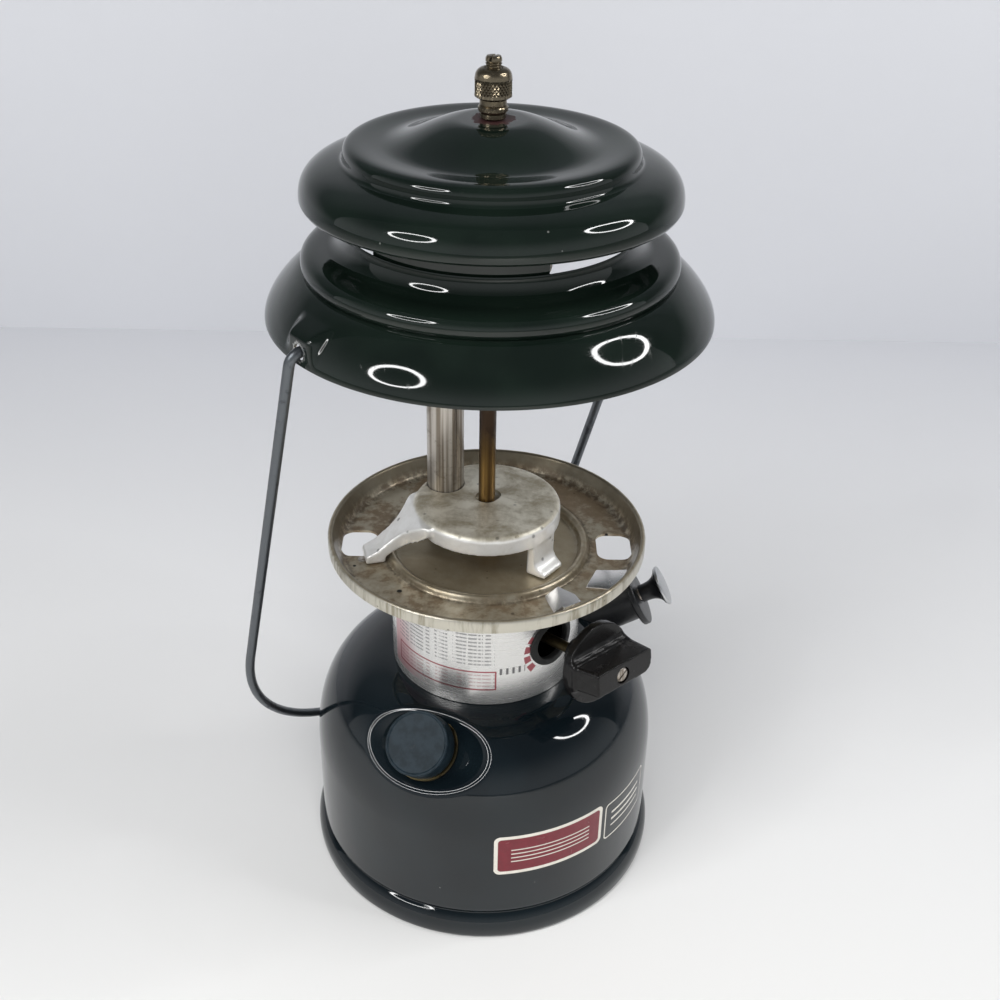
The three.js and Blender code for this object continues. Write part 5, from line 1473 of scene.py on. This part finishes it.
def mantle():
    """Burnt mantle: a thin knitted bag gathered at its neck under a tied thread."""
    face = [(8.5, MANTLE_TOP), (8.35, 233.4), (8.0, 232.6), (8.5, 231.4)]
    face += bow((9.2, 230.2), (12.6, 226), (13.2, 202), (0, MANTLE_LOW), 40)
    form = turned(sheet_of(face[::-1], 0.45)[::-1], 96, closed=False)
    for vert in form.verts:
        turn = math.atan2(vert.co.y, vert.co.x)
        puckers = smooth_step(vert.co.z, 214, 231) * (1 - smooth_step(vert.co.z, 231.6, 233.4))
        ease = 1 - 0.05 * puckers * (0.5 + 0.5 * math.cos(16 * turn))
        ease -= 0.012 * math.sin(3 * turn + vert.co.z * 0.3)
        vert.co.x *= ease
        vert.co.y *= ease
    thread = []
    for step in range(8):
        turn = step * math.pi / 4
        thread.append((8.1 + THREAD_RADIUS * math.cos(turn), 232.6 + THREAD_RADIUS * math.sin(turn)))
    return shifted(together(form, turned(thread, 72)), *BURNER)


finished("mantle_bag", mantle(), MANTLE_ASH, "fount", ["mantle"])


# Ventilator

def skirt_face():
    """Outer face of the ventilator's lower skirt."""
    points = bow((72.5, 225.7), (72.5, 231.6), (62.7, 240.9), (59.5, 240.9), 48)
    points += bow((59.7, 241.2), (60.0, 241.6), (60.3, 242.2), (60.3, 243.03), 5)
    points += bow((60.3, 243.2), (60.3, 247.3), (56.25, 247.3), (52.2, 247.3), 24)
    points += bow((51.8, 247.3), (49.3, 247.3), (NECK_DRAWN, 249.7), (NECK_DRAWN, NECK_SILL - 0.4), 20)
    points += [(NECK_DRAWN - 0.1, NECK_SILL - 0.1), (NECK_DRAWN - 0.3, NECK_SILL)]
    return points


def skirt():
    """Skirt with its two pressed ears."""
    sectors = ((24, 72), (156, 78), (24, 72), (156, 78))
    form = turned(skirt_face(), sectors, EAR_AZIMUTH - 12, False)
    holes = []
    for azimuth in (EAR_AZIMUTH, EAR_AZIMUTH + 180):
        out = heading(azimuth, 0)
        side = heading(azimuth + 90, 0)
        for vert in form.verts:
            away = vert.co.dot(out)
            aside = abs(vert.co.dot(side))
            if away < 40 or aside > 13:
                continue
            window = 1 - smooth_step(aside, EAR_WIDTH / 2 - 2.6, EAR_WIDTH / 2 + 2.2)
            window *= 1 - smooth_step(vert.co.z, 233.6, 238.4)
            vert.co += out * max(EAR_FACE - away, 0) * window
        holes.append(put(disc(PIVOT_HOLE, 60, 80, 48), stood_at((0, 0, PIVOT_HEIGHT), out, side)))
    return cut_out(given_wall(form, SKIRT_SHEET), *holes)


finished("vent_skirt", skirt(), SKIRT_ENAMEL, "ventilator", ["ventilator_skirt"])


def strap(azimuth):
    """Curved strap between the neck and the cap."""
    inner = STRAP_RADIUS - STRAP_SHEET
    shelf = STRAP_HIGH - STRAP_SHEET
    out = STRAP_RADIUS + STRAP_FLANGE
    outline = [(inner, STRAP_LOW), (STRAP_RADIUS, STRAP_LOW), (STRAP_RADIUS, shelf - 1.2)]
    outline += bow((STRAP_RADIUS, shelf - 1.0), (STRAP_RADIUS, shelf - 0.3), (STRAP_RADIUS + 0.3, shelf),
                   (STRAP_RADIUS + 1.0, shelf), 4)
    outline += [(out, shelf), (out, STRAP_HIGH), (inner + 1.4, STRAP_HIGH)]
    outline += bow((inner + 1.2, STRAP_HIGH), (inner + 0.4, STRAP_HIGH), (inner, STRAP_HIGH - 0.4),
                   (inner, STRAP_HIGH - 1.2), 4)
    form = bmesh.new()
    angle = math.radians(azimuth - STRAP_DEGREES / 2 - 90)
    points = [form.verts.new((r * math.cos(angle), r * math.sin(angle), z)) for r, z in outline]
    form.faces.new(points)
    bmesh.ops.spin(form, geom=list(form.faces), cent=(0, 0, 0), axis=(0, 0, 1),
                   angle=math.radians(STRAP_DEGREES), steps=48)
    bmesh.ops.recalc_face_normals(form, faces=form.faces)
    return form


for number, azimuth in enumerate(STRAP_AZIMUTHS, 1):
    finished(f"vent_strap_{number}", strap(azimuth), VENT_ENAMEL, "ventilator",
             [f"ventilator_tab_{number}"])


def cap_face():
    """Outer face of the ventilator's cap."""
    points = bow((59.0, 262.7), (59.2, 263.0), (59.5, 263.4), (59.6, 263.9), 4)
    points += bow((59.6, 264.1), (59.6, 273.1), (51.6, 273.4), (46.8, 274.5), 48)
    points += bow((46.4, 274.7), (46.0, 275.0), (45.75, 275.6), (45.7, 276.4), 5)
    points += bow((45.65, 276.8), (45.6, 281.4), (40.6, 279.6), (34.2, 279.4), 32)
    points += bow((33.9, 279.4), (26.1, 279.4), (18.1, 286.5), (10, CAP_TOP), 32)
    points += [(6.5, CAP_TOP), (CAP_HOLE, CAP_TOP)]
    return points


finished("vent_cap", turned(sheet_of(cap_face(), SKIRT_SHEET), 240), CAP_ENAMEL, "ventilator",
         ["ventilator_cap"])


# Ball nut

def ball_nut():
    """Ball nut with a diamond knurl, a narrow neck, a lip and a foot."""
    outline = [(NUT_BORE, 286.8), (3.7, 286.8), (4.0, 287.1), (4.0, 288.3), (3.6, 288.6), (4.3, 288.8)]
    outline += [(4.6, 289.2), (4.6, 290.1), (4.3, 290.5), (4.0, 290.6), (4.1, 290.9), (4.1, 292.4)]
    outline += [(4.9, 292.8), (5.3, 293.1)]
    outline += [(KNURL_RADIUS, KNURL_LOW + KNURL_STEP * row) for row in range(KNURL_ROWS + 1)]
    outline += bow((5.6, 298.9), (5.5, 300.4), (4.6, 301.4), (3.1, 301.6), 10)
    outline += [(NUT_BORE, 301.4)]
    form = turned(outline, KNURL_SIDES)
    grooves = []
    for vert in form.verts:
        row = (vert.co.z - KNURL_LOW) / KNURL_STEP
        side = round(math.degrees(math.atan2(vert.co.y, vert.co.x)) * KNURL_SIDES / FULL_TURN)
        if 0.5 < row < KNURL_ROWS - 0.5 and (round(row) + side) % 2 and math.hypot(vert.co.x, vert.co.y) > 4:
            vert.co.x *= KNURL_DEPTH
            vert.co.y *= KNURL_DEPTH
            grooves.append(vert)
    bmesh.ops.connect_verts(form, verts=grooves)
    return form


finished("nut_knurled", ball_nut(), NUT_METAL, "nut", ["ball_nut"], 16)


# Bail

def bail_route():
    """Points of the handle's centre line, from one hook to the other, flat and from above."""
    route = [(BAIL_HOOK, 0), (BAIL_HOOK + 2.5, 0)]
    turn_x = BAIL_RADIUS - BAIL_BEND
    for step in range(9):
        angle = math.radians(-90 + 90 * step / 8)
        route.append((turn_x + BAIL_BEND * math.cos(angle), BAIL_BEND + BAIL_BEND * math.sin(angle)))
    route += [(BAIL_RADIUS, BAIL_BEND + (BAIL_LEG - BAIL_BEND) * step / 10) for step in range(1, 10)]
    for step in range(41):
        angle = math.radians(90 * step / 40)
        route.append((BAIL_RADIUS * math.cos(angle), BAIL_LEG + BAIL_RADIUS * math.sin(angle)))
    route += [(-x, y) for x, y in route[-2::-1]]
    return [Vector((x, y, 0)) for x, y in route]


def bail():
    """Bent wire handle, drawn ring by ring along its centre line."""
    side = heading(EAR_AZIMUTH, 0)
    drop = heading(EAR_AZIMUTH - 90, BAIL_LIFT)
    route = bail_route()
    last = len(route) - 1
    places = []
    for index, point in enumerate(route):
        along = route[min(index + 1, last)] - route[max(index - 1, 0)]
        places.append(stood_at(point, along, (0, 0, 1)))
    form = bmesh.new()
    ring = bmesh.ops.create_circle(form, segments=20, radius=WIRE_RADIUS * END_SHARE)["verts"]
    bmesh.ops.transform(form, matrix=places[0], verts=ring)
    edges = list(form.edges)
    steps = [(places[0], 1 / END_SHARE, END_EASE)] + [(place, 1, 0) for place in places[1:-1]]
    steps += [(places[-1], 1, -END_EASE), (places[-1], END_SHARE, 0)]
    before = places[0]
    for place, grow, ahead in steps:
        made = bmesh.ops.extrude_edge_only(form, edges=edges)
        fresh = [item for item in made["geom"] if isinstance(item, bmesh.types.BMVert)]
        edges = [item for item in made["geom"] if isinstance(item, bmesh.types.BMEdge)]
        there = place @ Matrix.Translation((0, 0, ahead))
        change = there @ Matrix.Diagonal((grow, grow, 1, 1)) @ before.inverted()
        bmesh.ops.transform(form, matrix=change, verts=fresh)
        before = there
    bmesh.ops.holes_fill(form, edges=form.edges, sides=0)
    return put(form, stood_at((0, 0, PIVOT_HEIGHT), side.cross(drop), side))


finished("bail_handle", bail(), WIRE_STEEL, "bail", ["bail"])


# CAD pieces that keep their shape

SLOT_FINISHES = {
    "fount_enamel": TANK_ENAMEL,
    "vent_enamel": VENT_ENAMEL,
    "pan_steel": PAN_STEEL,
    "collar_steel": COLLAR_STEEL,
    "dish_nickel": DISH_NICKEL,
    "cast_metal": CAST_METAL,
    "tube_steel": TUBE_STEEL,
    "brass": BRASS,
    "black_plastic": BLACK_PLASTIC,
    "rubber": RUBBER,
    "leather": LEATHER,
    "aluminium": ALUMINIUM,
    "nut_metal": NUT_METAL,
    "wire_steel": WIRE_STEEL,
    "mantle_ash": MANTLE_ASH,
    "burner_ceramic": BURNER_CERAMIC,
}
for node in frame["nodes"].values():
    for holder in node.material_slots:
        for slot_name, finish in SLOT_FINISHES.items():
            if holder.material and holder.material.name.startswith(slot_name):
                holder.material = finish
                break


# Camera

CAMERA_PLACE = Vector((0, -390.71, 394.96))
CAMERA_FORWARD = Vector((0.0098, 0.8485, -0.5291))
CAMERA_RIGHT = Vector((0.9998, -0.0005, 0.0177))
FOCAL_PIXELS = 1293.29
SENSOR_WIDTH = 36.0
NEAR_LIMIT = 0.01


def camera():
    """Camera at the photograph's place and angle."""
    eye = bpy.data.cameras.new("camera")
    eye.sensor_width = SENSOR_WIDTH
    eye.lens = SENSOR_WIDTH * FOCAL_PIXELS / PIXELS_WIDE
    eye.clip_start = NEAR_LIMIT
    holder = placed("camera", eye)
    holder.matrix_world = stood_at(CAMERA_PLACE * METRES_PER_MM, -CAMERA_FORWARD, CAMERA_RIGHT)
    bpy.context.scene.camera = holder


camera()


# Room

FLOOR_SIZE = 6.0
WALL_DISTANCE = 0.469
# Near and far colours: each far colour is painted shade, on the table towards the wall and on the wall
# upwards
TABLE_COLOURS = (paint(236, 235, 232), paint(206, 207, 211))
WALL_COLOURS = (paint(203, 204, 208), paint(92, 96, 100))
LAMP_AIM = Vector((0, 0, 0.15))


def room_finish(name, near, far, axis, start, end):
    """Pale matt paint that darkens from one colour to another along an axis, as painted shade."""
    material, tree, place = blank_finish(name)
    along = shader(tree, "ShaderNodeSeparateXYZ", {"Vector": place}).outputs[axis]
    cloud = clouds(tree, place, 2.2, 2.0, 0.5)
    part = ranged(tree, along, start, end, soft=False)
    tint = mixed(tree, part, near, far)
    soiled = tuple(share * 0.93 for share in near[:3]) + (1,)
    cover = ranged(tree, cloud, 0.4, 0.8, 0.0, 0.4)
    tint = mixed(tree, times(tree, cover, minus(tree, 1.0, part)), tint, soiled)
    surface(tree, {"Base Color": tint, "Roughness": 0.9})
    return material


def clear_back(material):
    """Lets a view from behind the wall pass through it."""
    tree = material.node_tree
    end = next(node for node in tree.nodes if node.type == "OUTPUT_MATERIAL")
    front = end.inputs["Surface"].links[0].from_socket
    behind = shader(tree, "ShaderNodeNewGeometry").outputs["Backfacing"]
    clear = shader(tree, "ShaderNodeBsdfTransparent").outputs[0]
    both = tree.nodes.new("ShaderNodeMixShader")
    for source, socket in zip((behind, front, clear), both.inputs):
        tree.links.new(source, socket)
    tree.links.new(both.outputs[0], end.inputs["Surface"])
    return material


def room_sheet(name, place, finish):
    """One large flat sheet of the room."""
    form = bmesh.new()
    bmesh.ops.create_grid(form, x_segments=2, y_segments=2, size=FLOOR_SIZE / 2)
    mesh = meshed(name, put(form, place))
    mesh.materials.append(finish)
    return placed(name, mesh)


def room():
    """Pale table and wall, with painted shade: the table darker towards the wall, the wall darker upwards."""
    table_top = room_finish("table top", *TABLE_COLOURS, "Y", -0.25, 0.47)
    table = room_sheet("table", Matrix.Identity(4), table_top)
    upright = Matrix.Translation((0, WALL_DISTANCE, FLOOR_SIZE / 2)) @ Matrix.Rotation(math.pi / 2, 4, "X")
    wall = room_sheet("wall", upright, clear_back(room_finish("wall paint", *WALL_COLOURS, "Z", 0.25, 0.6)))


room()


def lamp(name, azimuth, lift, distance, size, power):
    """Soft round lamp aimed at the lantern."""
    light = bpy.data.lights.new(name, "AREA")
    light.shape = "DISK"
    light.size = size
    light.energy = power
    holder = placed(name, light)
    way = heading(azimuth, lift)
    holder.matrix_world = stood_at(LAMP_AIM + way * distance, way, (0, 0, 1))
    holder.visible_glossy = False


def ring_lamp(name, azimuth, lift, distance, radius, width, strength):
    """Ring-shaped lamp that shows in glossy surfaces."""
    material = bpy.data.materials.new(name)
    material.use_nodes = True
    tree = material.node_tree
    tree.nodes.clear()
    glow = shader(tree, "ShaderNodeEmission", {"Color": (1, 1, 1, 1), "Strength": strength})
    end = tree.nodes.new("ShaderNodeOutputMaterial")
    tree.links.new(glow.outputs[0], end.inputs["Surface"])
    inside = radius - width
    form = turned([(inside, 0), (radius, 0), (radius, -0.002), (inside, -0.002)], 64)
    way = heading(azimuth, lift)
    mesh = meshed(name, put(form, stood_at(LAMP_AIM + way * distance, way, (0, 0, 1))))
    mesh.materials.append(material)
    holder = placed(name, mesh)
    holder.visible_camera = False


ring_lamp("left ring", -48, 36, 0.9, 0.2, 0.035, 26)
ring_lamp("right ring", 85, 45, 0.9, 0.2, 0.035, 26)
lamp("soft front", -20, 62, 1.4, 0.9, 10)
lamp("low front", 8, 16, 1.3, 0.8, 6)


def world():
    """Pale room seen in the reflections."""
    sky = bpy.data.worlds.new("room light")
    bpy.context.scene.world = sky
    sky.use_nodes = True
    tree = sky.node_tree
    tree.nodes.clear()
    way = shader(tree, "ShaderNodeTexCoord").outputs["Generated"]
    height = shader(tree, "ShaderNodeSeparateXYZ", {"Vector": way}).outputs["Z"]
    colour = mixed(tree, ranged(tree, height, 0.05, 0.75), (0.56, 0.58, 0.6, 1), (0.1, 0.105, 0.115, 1))
    seen = shader(tree, "ShaderNodeLightPath").outputs["Is Camera Ray"]
    colour = mixed(tree, seen, colour, paint(210, 212, 216))
    glow = shader(tree, "ShaderNodeBackground", {"Color": colour, "Strength": 1.0})
    end = tree.nodes.new("ShaderNodeOutputWorld")
    tree.links.new(glow.outputs[0], end.inputs["Surface"])


world()

bpy.context.scene.view_settings.view_transform = "Standard"
bpy.context.view_layer.update()
